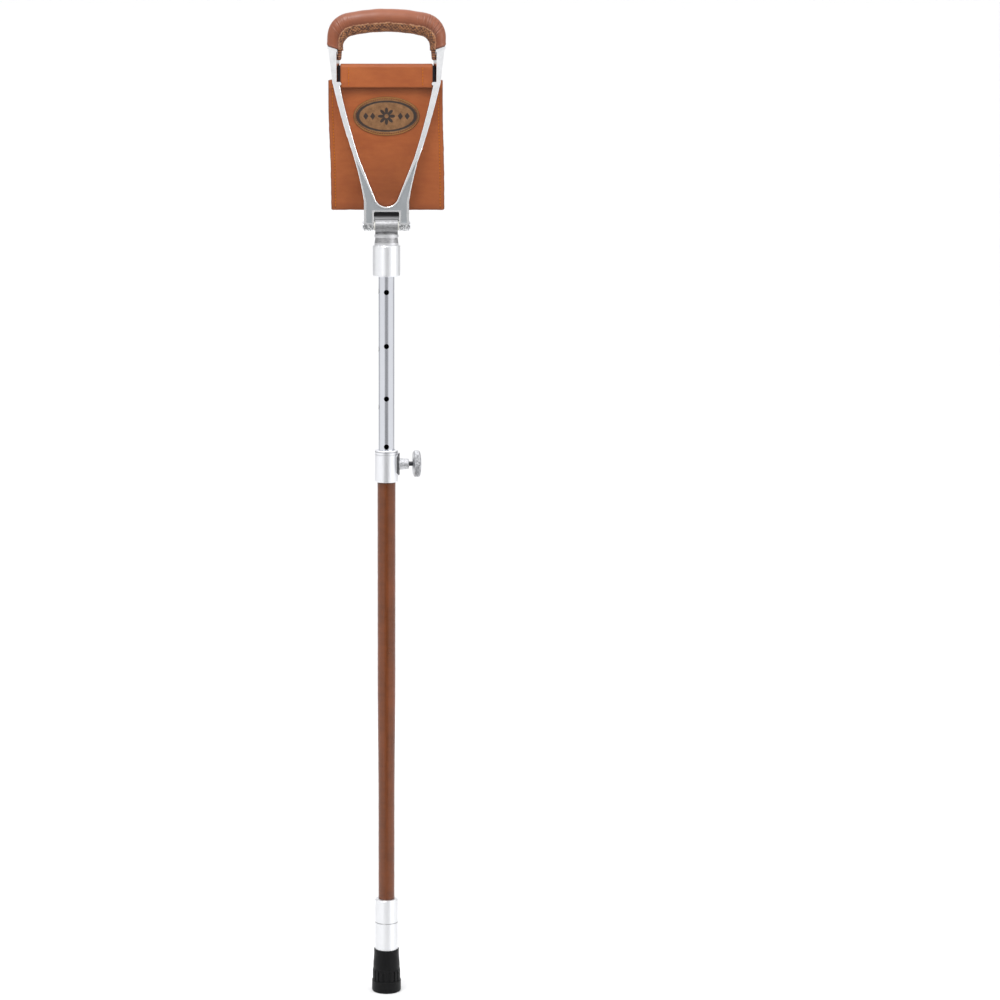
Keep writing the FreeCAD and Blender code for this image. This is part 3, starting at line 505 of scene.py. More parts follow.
@dataclass(frozen=True)
class Plain:
    """Moulded rubber, nylon or thread: one tone with a fine mottle."""

    name: str
    colour: Colour
    rough: float
    scale: float = 1500.0
    depth: float = 0.00012
    mottle: float = 0.25
    gleam: float = 0.4

    def build(self) -> Material:
        """Make the material.

        Returns:
            The finished material.
        """
        tree = Tree(self.name)
        place = tree.place()
        fine = tree.noise(place, self.scale, 3.0, 0.6)
        clouds = tree.noise(place, 120.0, 3.0, 0.6)
        colour = tree.blend((clouds * 0.5 + fine * 0.5).ramp(0.3, 0.75) * self.mottle, self.colour,
                            tuple(min(1.0, c * 1.9 + 0.004) for c in self.colour))
        tree.feed(Base_Color=colour, Roughness=(clouds - 0.5) * 0.18 + self.rough,
                  Specular_IOR_Level=self.gleam, Normal=tree.bump(fine, self.depth, 0.6))
        return tree.material


@dataclass(frozen=True)
class BadgeLeather:
    """Pale suede patch with a dark oval ring, a rosette and two lozenges each side of it."""

    name: str
    suede: Colour = paint(143, 103, 67)
    shade: Colour = paint(97, 66, 38)
    ink: Colour = paint(26, 17, 15)
    ring_x: float = 28.4 * MM
    ring_z: float = 14.4 * MM
    ring_width: float = 0.075
    petals: float = 8.0
    rosette: float = 8.6 * MM
    lozenges: tuple[float, float] = (13.6 * MM, 20.4 * MM)
    lozenge_x: float = 2.6 * MM
    lozenge_z: float = 3.6 * MM

    def build(self) -> Material:
        """Make the material. The patch's UV is in metres from its centre.

        Returns:
            The finished material.
        """
        tree = Tree(self.name)
        flat = tree.place("UV")
        x, z = tree.part(flat, "X"), tree.part(flat, "Y")
        reach = ((x / self.ring_x).power(2.0) + (z / self.ring_z).power(2.0)).power(0.5)
        rough_edge = (tree.noise(flat, 900.0, 2.0) - 0.5) * 0.05
        ring = ((reach - 1.0).size() + rough_edge).ramp(self.ring_width, self.ring_width * 0.55)
        radius = (x.power(2.0) + z.power(2.0)).power(0.5)
        petal = (z.angle(x) * (self.petals / 2.0)).cosine().size()
        flower = (radius / (petal * 0.62 + 0.38) / self.rosette + rough_edge).ramp(1.04, 0.94)
        flower = flower * (radius / self.rosette).ramp(0.2, 0.27)
        lozenges = None
        for middle in self.lozenges:
            away = (x.size() - middle).size() / self.lozenge_x + z.size() / self.lozenge_z
            shape = (away + rough_edge).ramp(1.05, 0.95)
            lozenges = shape if lozenges is None else lozenges.larger(shape)
        drawn = ring.larger(flower).larger(lozenges)
        nap = tree.noise(flat, 1900.0, 4.0, 0.7)
        clouds = tree.noise(flat, 160.0, 3.0, 0.6)
        colour = tree.blend((nap * 0.5 + clouds * 0.5).ramp(0.32, 0.7), self.shade, self.suede)
        colour = tree.blend(reach.ramp(1.08, 1.16) * 0.6, colour, paint(158, 106, 46))
        colour = tree.blend(drawn * (0.86 + nap * 0.14), colour, self.ink)
        colour = tree.blend(tree.marked("edge") * 0.85, colour, paint(62, 38, 20))
        height = nap * 0.35 - drawn * 0.9
        tree.feed(Base_Color=colour, Roughness=0.86 - drawn * 0.25, Normal=tree.bump(height, 0.0004, 0.7))
        return tree.material


class Finishes:
    """The materials, each made once and held under its short name."""

    def __init__(self) -> None:
        """Make every finish."""
        looks = {
            "grip": Leather("grip_leather", paint(145, 80, 46), paint(121, 62, 34), coat=0.14, shine=0.46),
            "sling": Leather("sling_leather", paint(168, 92, 43), paint(142, 70, 30), gloss=0.5),
            "shaft": Leather("shaft_leather", paint(116, 57, 17), paint(88, 43, 10), gloss=0.3, coat=0.24,
                             shine=0.36),
            "badge": BadgeLeather("badge_leather"),
            "thread": Plain("ochre_thread", paint(178, 100, 26), 0.7, 2600.0, gleam=0.2),
            "black_steel": Metal("black_steel", paint(46, 46, 50), 0.5, (300, 300, 300)),
            "dark_thread": Plain("brown_thread", paint(96, 50, 28), 0.62, 2600.0),
            "collar": CollarMetal("polished_collar", paint(238, 239, 242), 0.36, (90, 90, 900), grime=0.06,
                                  top=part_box("clamp_collar")[1].z),
            "turned": FerruleMetal("turned_ferrule", paint(233, 234, 236), 0.4, (30, 30, 1400), 0.00002,
                                   0.06, 0.8, line=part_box("foot_ferrule")[1].z),
            "drawn": TubeMetal("drawn_tube", paint(215, 217, 223), 0.12, (700, 700, 20), grime=0.06),
            "knuckle": KnuckleMetal("brushed_knuckle", paint(206, 206, 208), 0.5, (60, 900, 900), 0.0001,
                                    top=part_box("knuckle")[1].z),
            "steel": Metal("bright_steel", paint(196, 198, 202), 0.24, (400, 400, 400)),
            "dark_steel": Metal("dark_steel", paint(112, 112, 116), 0.34, (500, 500, 500)),
            "knurl": KnurledMetal("knurled_knob", paint(208, 209, 212), 0.3, (900, 900, 900), 0.0001),
            "cast": CastFrame("cast_frame"),
            "rubber": Plain("black_rubber", paint(5, 5, 6), 0.42, 900.0, 0.00016, gleam=0.16),
            "nylon": Plain("natural_nylon", paint(222, 220, 212), 0.4, 700.0, 0.0001),
        }
        for name, look in looks.items():
            setattr(self, name, look.build())


def bell(values: Array, width: float) -> Array:
    """Bell curve exp(-(v / width)^2), which is 1 at 0."""
    return np.exp(-(values / width) ** 2)


def dome(out: Array, least: float = 0.02) -> Array:
    """Height sqrt(1 - out^2) of a round rim, kept above the root of a least value."""
    return np.sqrt(np.clip(1.0 - np.clip(out, 0.0, 1.0) ** 2, least, 1.0))


def turns(count: int) -> Array:
    """Even angles round a full turn, as a row."""
    return 2.0 * math.pi * np.arange(count)[None] / count


def travel(line: Array) -> Array:
    """Distance along a line of points, from 0 at its start."""
    return np.concatenate([[0.0], np.cumsum(np.linalg.norm(np.diff(line, axis=0), axis=1))])


def resample(places: Array, along: Array, line: Array) -> Array:
    """Points of a line at the given distances along it."""
    return np.stack([np.interp(places, along, values) for values in line.T], axis=1)


def unit(vectors: Array) -> Array:
    """Vectors of length 1."""
    return vectors / np.linalg.norm(vectors, axis=1)[:, None]


def leather_marks(edge: Array, **others: Array) -> dict[str, Array]:
    """Marks that the leather finish reads: the edge's, and the others' or 0."""
    zero = np.zeros(edge.shape)
    return {"edge": edge, **{name: others.get(name, 0.0) + zero for name in ("lace", "ridge", "cream")}}


def grid_faces(rows: int, columns: int, closed: bool) -> Array:
    """Corner numbers of a grid's quads, with the columns joined in a ring if closed.

    Args:
        rows: Number of rows of points.
        columns: Number of points in a row.
        closed: Whether a row's last point joins its first one.

    Returns:
        One row of four corner numbers for each quad.
    """
    across = columns if closed else columns - 1
    i, j = np.meshgrid(np.arange(rows - 1), np.arange(across), indexing="ij")
    k = (j + 1) % columns
    corners = [i * columns + j, i * columns + k, (i + 1) * columns + k, (i + 1) * columns + j]
    return np.stack(corners, axis=-1).reshape(-1, 4)


def capped_faces(rows: int, columns: int) -> list:
    """Faces of a stack of rings, with one face over each end."""
    last = range((rows - 1) * columns, rows * columns)
    return grid_faces(rows, columns, True).tolist() + [list(range(columns)), list(last)[::-1]]


def add_mesh(name: str, points: Array, faces: list, marks: dict[str, Array] | None = None,
             flat: Array | None = None) -> Piece:
    """Make a smooth object from points and faces, with its faces outwards.

    The signed volume of a closed mesh is the sum over triangles of a . (b x c) / 6. Where it is
    negative, every face is turned round.

    Args:
        name: Name of the piece.
        points: Its points, one row each.
        faces: Corner numbers of each face.
        marks: Numbers for each point, by name.
        flat: Coordinates in metres for the finish, one row for each point.

    Returns:
        The object, at the origin.
    """
    quads = [list(map(int, face)) for face in faces]
    first, second, third, last = (points[[face[i] for face in quads]] for i in (0, 1, 2, -1))
    volume = (first * (np.cross(second, third) + np.cross(third, last))).sum()
    if volume < 0.0:
        quads = [face[::-1] for face in quads]
    mesh = bpy.data.meshes.new(name)
    mesh.from_pydata(points.tolist(), [], quads)
    for key, values in (marks or {}).items():
        layer = mesh.attributes.new(key, "FLOAT", "POINT")
        layer.data.foreach_set("value", np.asarray(values, np.float32).ravel())
    if flat is not None:
        corners = np.empty(len(mesh.loops), np.int32)
        mesh.loops.foreach_get("vertex_index", corners)
        mesh.uv_layers.new(name="UVMap").data.foreach_set("uv", flat[corners].astype(np.float32).ravel())
    mesh.polygons.foreach_set("use_smooth", np.ones(len(mesh.polygons), bool))
    mesh.validate()
    mesh.update()
    piece = bpy.data.objects.new(name, mesh)
    bpy.context.scene.collection.objects.link(piece)
    LOG.info("%s: %d faces", name, len(mesh.polygons))
    return piece


def add_tube(name: str, rings: Array, marks: dict[str, Array] | None = None,
             flat: Array | None = None) -> Piece:
    """Make a closed skin through rings of points, with a face over each end.

    Args:
        name: Name of the piece.
        rings: Points as (ring, place on the ring, 3).
        marks: Numbers as (ring, place), by name.
        flat: Finish coordinates as (ring, place, 2).

    Returns:
        The object.
    """
    flat_points = None if flat is None else flat.reshape(-1, 2)
    return add_mesh(name, rings.reshape(-1, 3), capped_faces(*rings.shape[:2]), marks, flat_points)


def add_sheet(name: str, outer: Array, inner: Array, marks: dict[str, Array],
              flat: Array) -> Piece:
    """Make one sheet of two layers of points, joined along their four edges.

    Args:
        name: Name of the piece.
        outer: The outer layer's points as (row, column, 3).
        inner: The inner layer's.
        marks: Numbers as (row, column), by name, for both layers.
        flat: Finish coordinates as (row, column, 2), for both layers.

    Returns:
        The object.
    """
    rows, columns = outer.shape[:2]
    size = rows * columns
    quads = grid_faces(rows, columns, False)
    faces = quads.tolist() + (quads[:, ::-1] + size).tolist()
    border = np.concatenate([np.arange(columns), np.arange(1, rows) * columns + columns - 1,
                             (rows - 1) * columns + np.arange(columns - 1)[::-1],
                             np.arange(rows - 1)[:0:-1] * columns])
    after = np.roll(border, -1)
    faces += np.stack([after, border, border + size, after + size], axis=1).tolist()
    points = np.concatenate([outer.reshape(-1, 3), inner.reshape(-1, 3)])
    both = {key: np.tile(values.ravel(), 2) for key, values in marks.items()}
    return add_mesh(name, points, faces, both, np.tile(flat.reshape(-1, 2), (2, 1)))


def superellipse(count: int, power: float) -> Array:
    """Ring of unit points |x|^p + |y|^p = 1, as sign * |cos t|^(2/p) and sign * |sin t|^(2/p).

    Args:
        count: Number of points.
        power: Power p: 2 is round, more is squarer.

    Returns:
        One row of two coordinates for each point.
    """
    t = 2.0 * math.pi * (np.arange(count) + 0.5) / count
    round_points = np.stack([np.cos(t), np.sin(t)], axis=-1)
    return np.sign(round_points) * np.abs(round_points) ** (2.0 / power)


def dress(piece: Piece, finish: bpy.types.Material) -> Piece:
    """Give a new piece its finish.

    Args:
        piece: Piece to dress.
        finish: Its material.

    Returns:
        The same piece.
    """
    piece.data.materials.append(finish)
    return piece


@dataclass
class Stitches:
    """A row of sewn stitches, each a small capsule that lies on the surface."""

    length: float = 2.1 * MM
    pitch: float = 3.0 * MM
    radius: float = 0.32 * MM
    sides: int = 6
    rings: int = 5

    def build(self, name: str, line: Array, normals: Array, lean: float = 0.0) -> Piece:
        """Make the row.

        Each stitch is an ellipsoid sunk by half its radius: its points are the place on the line plus
        the line's direction, the surface's normal and their cross product, times the capsule's own
        coordinates.

        Args:
            name: Name of the piece.
            line: Points of the sewn line, close together.
            normals: Outward normals there.
            lean: Angle of each stitch to the line.

        Returns:
            The object with every stitch of the row.
        """
        along = travel(line)
        count = max(1, int(along[-1] / self.pitch))
        places = (np.arange(count) + 0.5) * along[-1] / count
        centre = resample(places, along, line)
        normal = unit(resample(places, along, normals))
        reach = self.pitch / 4
        way = unit(resample(places + reach, along, line) - resample(places - reach, along, line))
        cross = np.cross(normal, way)
        c, s = math.cos(lean), math.sin(lean)
        way, cross = way * c + cross * s, cross * c - way * s
        u = np.linspace(-1.0, 1.0, self.rings)
        around = turns(self.sides)[0]
        girth = np.sqrt(np.clip(1.0 - (u * 0.97) ** 4, 0.0, 1.0))
        body = np.stack([np.repeat(u * self.length / 2, self.sides),
                         np.outer(girth, np.cos(around)).ravel() * self.radius,
                         np.outer(girth, np.sin(around)).ravel() * self.radius], axis=1)
        axes = np.stack([way, cross, normal], axis=1)
        points = centre[:, None, :] + np.einsum("pk,nkc->npc", body, axes)
        points += (normal * self.radius * 0.35)[:, None, :]
        one = capped_faces(self.rings, self.sides)
        size = self.rings * self.sides
        faces = [[corner + k * size for corner in face] for k in range(count) for face in one]
        return add_mesh(name, points.reshape(-1, 3), faces)


@dataclass
class Grip:
    """Leather grip over a handle's rod: an arch of oval sections, laced along its inner side."""

    side: Side
    half_width: float = 58.0 * MM
    corner_radius: float = 24.0 * MM
    crown_angle: float = math.radians(12.4)
    thickness: float = 22.1 * MM
    inner_half_width: float = 42.7 * MM
    inner_corner_radius: float = 11.0 * MM
    end_drop: float = 36.0 * MM
    end_slant: float = 5.0 * MM
    seam_share: float = 0.62
    cover_rise: float = 0.35 * MM
    lace_sink: float = 0.45 * MM
    lace_height: float = 0.6 * MM
    lace_pitch: float = 3.3 * MM
    wrinkle: float = 0.27 * MM
    lace_reach: float = 3.4 * MM
    tongue_drop: float = 27.0 * MM
    tongue_x: float = 45.8 * MM
    corner_place: tuple[float, float] = (0.68, 0.17)
    dense: tuple[float, float] = (1.55, 3.45)
    stations: int = 560
    around: int = 132

    def _arch(self, angle: Array, half: float, corner: float, top: float) -> Array:
        """Half width and height of an arch whose normal leans by an angle, as two columns.

        Up to the crown angle it is a large circle through the top. Beyond it is the corner's circle,
        which meets the large one in the same tangent.

        Args:
            angle: Lean of the normal at each point.
            half: Half width of the arch.
            corner: Radius of its corners.
            top: Height of its top.

        Returns:
            One row of half width and height for each angle.
        """
        reach = half - corner
        crown = corner + reach / math.sin(self.crown_angle)
        corner_z = top - crown + (crown - corner) * math.cos(self.crown_angle)
        on_crown = angle <= self.crown_angle
        x = np.where(on_crown, crown * np.sin(angle), reach + corner * np.sin(angle))
        z = np.where(on_crown, top - crown * (1.0 - np.cos(angle)), corner_z + corner * np.cos(angle))
        return np.stack([x, z], axis=1)

    def _rail(self, half: float, corner: float, top: float, end_z: float) -> Array:
        """Points of one rail from the left end over the arch to the right end.

        Args:
            half: Half width of the arch.
            corner: Radius of its corners.
            top: Height of its top.
            end_z: Height of its two ends.

        Returns:
            One row of sideways place and height for each point.
        """
        right = self._arch(np.linspace(0.0, math.pi / 2, 700), half, corner, top)
        down = np.linspace(0.0, 1.0, 200)[1:, None]
        right = np.concatenate([right, right[-1:] + (np.array([[half, end_z]]) - right[-1:]) * down])
        return np.concatenate([right[:0:-1] * np.array([-1.0, 1.0]), right])

    def _rails(self, top: float) -> tuple[Array, Array, Array, Array]:
        """Outer and inner points from the left end to the right one, evenly spaced, and their places.

        Args:
            top: Height of the grip's top.

        Returns:
            Outer points, inner points, distance along the middle line, and signed share of the way
            from the middle to an end.
        """
        end = top - self.end_drop
        outer = self._rail(self.half_width, self.corner_radius, top, end)
        inner = self._rail(self.inner_half_width, self.inner_corner_radius, top - self.thickness,
                           end - self.end_slant)
        along = travel((outer + inner) / 2)
        even = np.linspace(0.0, along[-1], self.stations)
        share = even / along[-1] * 2.0 - 1.0
        return resample(even, along, outer), resample(even, along, inner), even, share

    def build(self, finishes: Finishes) -> Piece:
        """Make the grip.

        A section's point at the angle t from the outer side is the middle + cos t * up + sin t *
        depth, moved along the section's normal by the leather's relief. The relief is a low step at
        the seam, a lacing of two crossed families of ridges beyond it, and fine creases at the
        corners.

        Args:
            finishes: All finishes of the part.

        Returns:
            The padded grip.
        """
        low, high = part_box(self.side.prefix + "grip_leather")
        depth = (high.y - low.y) / 2
        centre_y = (high.y + low.y) / 2
        outer, inner, along, share = self._rails(high.z)
        start, end = self.dense
        t = np.concatenate([np.linspace(0.0, start, 42, endpoint=False),
                            np.linspace(start, end, self.around - 72, endpoint=False),
                            np.linspace(end, 2.0 * math.pi, 30, endpoint=False)])[None]
        middle = (outer + inner) / 2
        up = (outer - inner) / 2
        half = np.linalg.norm(up, axis=1)[:, None]
        up = up / half
        seam_at = (self.seam_share + 0.13 * smooth_step(-share, 0.55, 0.95)
                   + 0.05 * smooth_step(share, 0.7, 1.0) + 0.016 * waves(along, 3, 7, 42.0 * MM, 3.0 * MM))
        seam_angle = np.arccos(1.0 - 2.0 * seam_at)[:, None]
        gap = (t - seam_angle) * (half + depth) / 2
        back_gap = (2.0 * math.pi - seam_angle - t) * (half + depth) / 2
        beyond = np.minimum(gap, back_gap)
        cover = smooth_step(-beyond, -0.15 * MM, 0.35 * MM)
        lip = bell(beyond + 0.5 * MM, 0.45 * MM)
        place = along[:, None] + 0.4 * MM * waves(along, 8, 4, 30 * MM, 6 * MM)[:, None]
        row, column = math.pi * place / self.lace_pitch, math.pi * beyond / self.lace_reach
        over = 0.5 + 0.5 * np.cos(2.0 * row) * np.cos(2.0 * column)
        ridge = (np.abs(np.cos(row + column)) ** 0.8 * over
                 + np.abs(np.cos(row - column)) ** 0.8 * (1.0 - over))
        lace = smooth_step(beyond, 0.1 * MM, 0.6 * MM)
        corner_at, corner_width = self.corner_place
        corner = (bell(np.abs(share) - corner_at, corner_width) * (0.45 + 0.55 * (share > 0)))[:, None]
        front = smooth_step(np.cos(t - 1.25), 0.1, 0.8)
        crease = waves(along, 21, 5, 3.4 * MM, 1.6 * MM)[:, None] * corner * front * cover
        swell = 0.14 * MM * waves(along, 5, 5, 70 * MM, 14 * MM)[:, None] * (0.4 + 0.6 * np.cos(t) ** 2)
        relief = (cover * self.cover_rise + lip * 0.16 * MM - (1.0 - cover) * self.lace_sink
                  + lace * ridge * self.lace_height + crease * self.wrinkle + swell)
        ends = np.minimum(along, along[-1] - along)[:, None]
        relief = (relief - 0.9 * MM * (1.0 - smooth_step(ends, 0.0, 1.1 * MM))
                  + 0.3 * MM * bell(ends - 1.7 * MM, 0.8 * MM))
        c, s = np.cos(t), np.sin(t)
        push = relief / np.hypot(c / half, s / depth)
        out = half * c + push * c / half
        deep = np.maximum(depth * s + push * s / depth, 0.12 * MM - abs(centre_y))
        rings = np.stack([middle[:, :1] + up[:, :1] * out, centre_y + self.side.value * deep,
                          middle[:, 1:] + up[:, 1:] * out], axis=-1)
        cream = np.clip(0.62 + 0.32 * waves(along, 13, 6, 18 * MM, 3 * MM), 0.1, 0.95)[:, None]
        # Painted shade in bands beside the seam, where the cover's edge curls, and in the valleys of the
        # corner creases.
        seam_and_crease_shade = (0.5 * bell(beyond + 1.5 * MM, 0.9 * MM)
                   + 0.22 * bell(beyond + 3.2 * MM, 2.4 * MM) + np.clip(-crease, 0.0, 1.0) * 0.3)
        marks = leather_marks(np.clip(1.0 - ends / (1.7 * MM), 0.0, 1.0) + seam_and_crease_shade, lace=lace, ridge=ridge,
                              cream=bell(beyond + 0.1 * MM, 0.42 * MM) * cream)
        flat = np.stack([along[:, None] + 0 * t, t * (half + depth) / 2], axis=-1)
        rings, marks, flat = self._with_ends(rings, marks, flat)
        grip = add_tube(self.side.prefix + "grip", rings, marks, flat)
        dress(grip, finishes.grip)
        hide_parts(self.side.prefix + "grip_leather", self.side.prefix + "grip_padding")
        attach(grip, self.side.frame_body)
        return grip

    def _with_ends(self, rings: Array, marks: dict[str, Array], flat: Array) -> tuple:
        """Turn the leather in over each end: two smaller rings, the last one a little inside.

        Args:
            rings: Sections of the grip.
            marks: Marks of each point.
            flat: Flat place of each point.

        Returns:
            The sections, marks and flat places, with two more of each at both ends.
        """
        extra = []
        for end, inward in ((0, rings[6] - rings[0]), (-1, rings[-7] - rings[-1])):
            middle = rings[end].mean(axis=0)
            way = unit(inward.mean(axis=0)[None])
            spokes = rings[end] - middle
            extra.append([middle + spokes * 0.86, middle + spokes * 0.74 + way * 0.8 * MM])
        rings = np.concatenate([np.stack(extra[0][::-1]), rings, np.stack(extra[1])])
        repeat = [0, 0, *range(len(flat)), len(flat) - 1, len(flat) - 1]
        return rings, {key: values[repeat] for key, values in marks.items()}, flat[repeat]

    def tongues(self, finishes: Finishes) -> None:
        """Make the two laced tongues that run down the arms' inner sides.

        Each is a stack of rounded oblong rings, which narrow and lean inwards towards the lower end.

        Args:
            finishes: All finishes of the part.
        """
        low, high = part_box(self.side.prefix + "grip_leather")
        centre_y = (high.y + low.y) / 2
        share = np.linspace(0.0, 1.0, 70)[:, None]
        ring = superellipse(40, 3.0)[None]
        start = high.z - self.tongue_drop
        height = start + (low.z + 0.3 * MM - start) * share + 0 * ring[..., 0]
        thick = (2.5 - 1.1 * share ** 1.4) * MM
        width = (4.6 - 1.7 * share ** 1.4) * MM
        ridge = np.abs(np.cos(math.pi * (height / (2.5 * MM) + ring[..., 1] * 0.6)))
        bulge = dome((share - 0.94) / 0.06) * (1.0 + 0.14 * ridge)
        for name, hand in (("left", -1.0), ("right", 1.0)):
            x = hand * (self.tongue_x + 0.4 * MM * share - thick * bulge * ring[..., 0])
            y = centre_y + width * bulge * ring[..., 1]
            rings = np.stack([x, y, height], axis=-1)
            marks = leather_marks(smooth_step(share, 0.86, 1.0) + 0 * x, lace=0.85, ridge=ridge)
            flat = np.stack([ring[..., 1] * 6 * MM + 0 * share, height], axis=-1)
            tongue = add_tube(f"{self.side.prefix}grip_tongue_{name}", rings, marks, flat)
            dress(tongue, finishes.grip)
            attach(tongue, self.side.frame_body)


@dataclass
class SlingHalf:
    """One half of the sling: leather round the seat bar, and the panel that hangs behind the arms."""

    side: Side
    thickness: float = 1.8 * MM
    loop_half: float = 45.4 * MM
    panel_half: float = 57.3 * MM
    shoulder: float = 9.6 * MM
    lean_left: float = 2.4 * MM
    lean_right: float = 1.9 * MM
    fold_gap: float = 1.0 * MM
    roll_radius: float = 0.95 * MM
    stitch_inset: float = 4.2 * MM
    flap_seams: tuple[float, float] = (-37.2 * MM, 35.6 * MM)
    row_step: float = 0.66 * MM
    columns: int = 150

    def __post_init__(self) -> None:
        """Read the places of the bar, the loop and the fold."""
        near, far = sorted(abs(corner.y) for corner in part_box(self.side.prefix + "seat_bar"))
        loop_low, loop_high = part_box(self.side.prefix + "sling_loop")
        self.hinge_z = loop_low.z
        self.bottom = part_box(self.side.prefix + "sling_half")[0].z
        self.back = near - self.thickness / 2
        self.front = far + self.thickness / 2
        self.top = loop_high.z - self.thickness / 2

    def _path(self) -> Array:
        """Middle line of the leather from the front flap's lower edge over the bar to the fold.

        Returns:
            Distance from the middle plane and height of each point, evenly spaced.
        """
        turn = (self.front - self.back) / 2
        bend_z = self.top - turn
        angle = np.linspace(0.0, math.pi, 40)
        hang = np.linspace(0.0, 1.0, 200)
        end = self.bottom + self.roll_radius
        away = [np.full(30, self.front), (self.front + self.back) / 2 + turn * np.cos(angle),
                np.full(30, self.back), self.back + (self.fold_gap - self.back) * hang ** 1.25]
        height = [np.linspace(self.hinge_z + 0.2 * MM, bend_z, 30), bend_z + turn * np.sin(angle),
                  np.linspace(bend_z, self.hinge_z, 30), self.hinge_z + (end - self.hinge_z) * hang]
        line = np.stack([np.concatenate(away), np.concatenate(height)], axis=1)
        along = travel(line)
        keep = np.concatenate([[True], np.diff(along) > 1e-7])
        line, along = line[keep], along[keep]
        return resample(np.linspace(0.0, along[-1], 250), along, line)

    def _half_width(self, height: Array, turned: Array) -> Array:
        """Half width of the leather: narrow round the bar, wide below the shoulder behind the arms.

        Args:
            height: Height of each row.
            turned: 1 past the bar's top, 0 before it.

        Returns:
            Half width of each row.
        """
        start = self.hinge_z + self.shoulder
        wide = smooth_step(-height, -start, 2.2 * MM - start)
        return self.loop_half + (self.panel_half - self.loop_half) * wide * turned

    def build(self, finishes: Finishes) -> None:
        """Make the leather, the rolled fold and the stitching.

        Args:
            finishes: All finishes of the part.
        """
        line = self._path()
        away, height = line.T
        tangent = unit(np.gradient(line, axis=0))
        normal = np.stack([-tangent[:, 1], tangent[:, 0]], axis=1)
        count = len(line)
        index = np.arange(count)
        top_index = int(np.argmax(height))
        turned = (index > top_index).astype(float)
        half = self._half_width(height, turned)
        u = np.linspace(-1.0, 1.0, self.columns)
        u = (np.sign(u) * (1.0 - (1.0 - np.abs(u)) ** 1.25))[None]
        x = self._across(u, height, turned, half)
        soft = self._down(height, 2 * MM, 40 * MM)[:, None] * turned[:, None] * 0.1 * MM * (
            waves(x.ravel(), 15, 4, 70 * MM, 24 * MM).reshape(x.shape)
            + waves(height, 16, 4, 80 * MM, 26 * MM)[:, None])
        rim = np.minimum(half[:, None] * (1.0 - np.abs(u)), 9.0)
        ends = np.minimum(index, count - 1 - index)[:, None] * self.row_step
        ends[top_index:] = 9.0
        rim = np.minimum(rim, ends)
        skin = self.thickness / 2 * dome(1.0 - rim / (1.1 * MM), 0.03)
        below = (turned * (height < self.hinge_z + self.shoulder))[:, None]
        skin = skin - 0.28 * MM * bell(rim - self.stitch_inset, 0.7 * MM) * below
        layers = []
        for sign in (1.0, -1.0):
            y, z = (line[:, k, None] + (sign * skin + soft) * normal[:, k, None] for k in (0, 1))
            layers.append(np.stack([x, self.side.value * np.maximum(y, 0.05 * MM), z], axis=-1))
        sheet = self._sheet(layers, rim, height)
        dress(sheet, finishes.sling)
        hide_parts(self.side.prefix + "sling_loop", self.side.prefix + "sling_half")
        steps = np.linalg.norm(np.diff(line, axis=0), axis=1)
        area = float(np.sum(steps * (half[1:] + half[:-1])))
        roll = dress(self._roll(away[-1]), finishes.sling)
        pieces = [sheet, roll] + self._sew(finishes, x, layers)
        for piece in pieces:
            self._hang(piece)

    def _down(self, height: Array, start: float, end: float) -> Array:
        """Rise from 0 to 1 between two depths below the hinge."""
        return smooth_step(-height, start - self.hinge_z, end - self.hinge_z)

    def _across(self, u: Array, height: Array, turned: Array, half: Array) -> Array:
        """Sideways place of each point: both edges wave a little, and lean as in the photograph.

        Args:
            u: Share of the half width, from -1 to 1.
            height: Height of each row.
            turned: 1 past the bar's top, 0 before it.
            half: Half width of each row.

        Returns:
            Sideways place of each point, by rows.
        """
        panel = self._down(height, 2 * MM, 40 * MM) * turned
        lean = self._down(height, 10 * MM, 100 * MM) * turned
        left = half + 0.13 * MM * waves(height, 11, 5, 55 * MM, 9 * MM) * panel - self.lean_left * lean
        wide = (half - self.loop_half) / (self.panel_half - self.loop_half)
        right = (half + 0.13 * MM * waves(height, 12, 5, 48 * MM, 8 * MM) * panel
                 + self.lean_right * (lean - 1.0) * wide)
        return np.where(u < 0, left[:, None], right[:, None]) * u

    def _hang(self, piece: Piece) -> None:
        """Bake a piece's place into its mesh.

        Args:
            piece: Piece that crosses the bar's height.
        """
        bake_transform(piece)

    def _sheet(self, layers: list[Array], rim: Array, height: Array) -> Piece:
        """Make the leather of both layers, darker at its edges and at the seams, with painted shade towards
        the bottom, under the loop's flap and round the crotch.

        Args:
            layers: Outer and inner faces of the leather.
            rim: Distance of each point from the nearest edge.
            height: Height of each row.

        Returns:
            The sheet of leather.
        """
        outer, inner = layers
        down = (self.hinge_z - height)[:, None]
        span = self.hinge_z - self.bottom
        # Painted shade: darker towards the bottom, in a band just under the loop's front flap, and round the
        # crotch.
        painted_shade = 0.3 * smooth_step(down, 0.1 * span, span) + 0.25 * smooth_step(down, span - 9 * MM, span)
        painted_shade = painted_shade + 0.42 * bell(down, 6 * MM) * (down > 0.0)
        crotch = np.hypot(outer[..., 0], (outer[..., 2] - self.bottom - 12 * MM) * 0.7)
        seam = 0.5 * bell(rim - self.stitch_inset, 0.55 * MM) * (down > -self.shoulder)
        seam[:int(np.argmax(height))] = 0.0
        edge = np.clip(bell(rim, 0.8 * MM) * 0.9 + painted_shade + 0.3 * bell(crotch, 24 * MM) + seam, 0.0, 1.0)
        rows = np.arange(len(rim))[:, None] * self.row_step
        flat = np.stack([outer[..., 0], rows + 0 * rim], axis=-1)
        return add_sheet(self.side.prefix + "sling_leather", outer, inner, leather_marks(edge), flat)

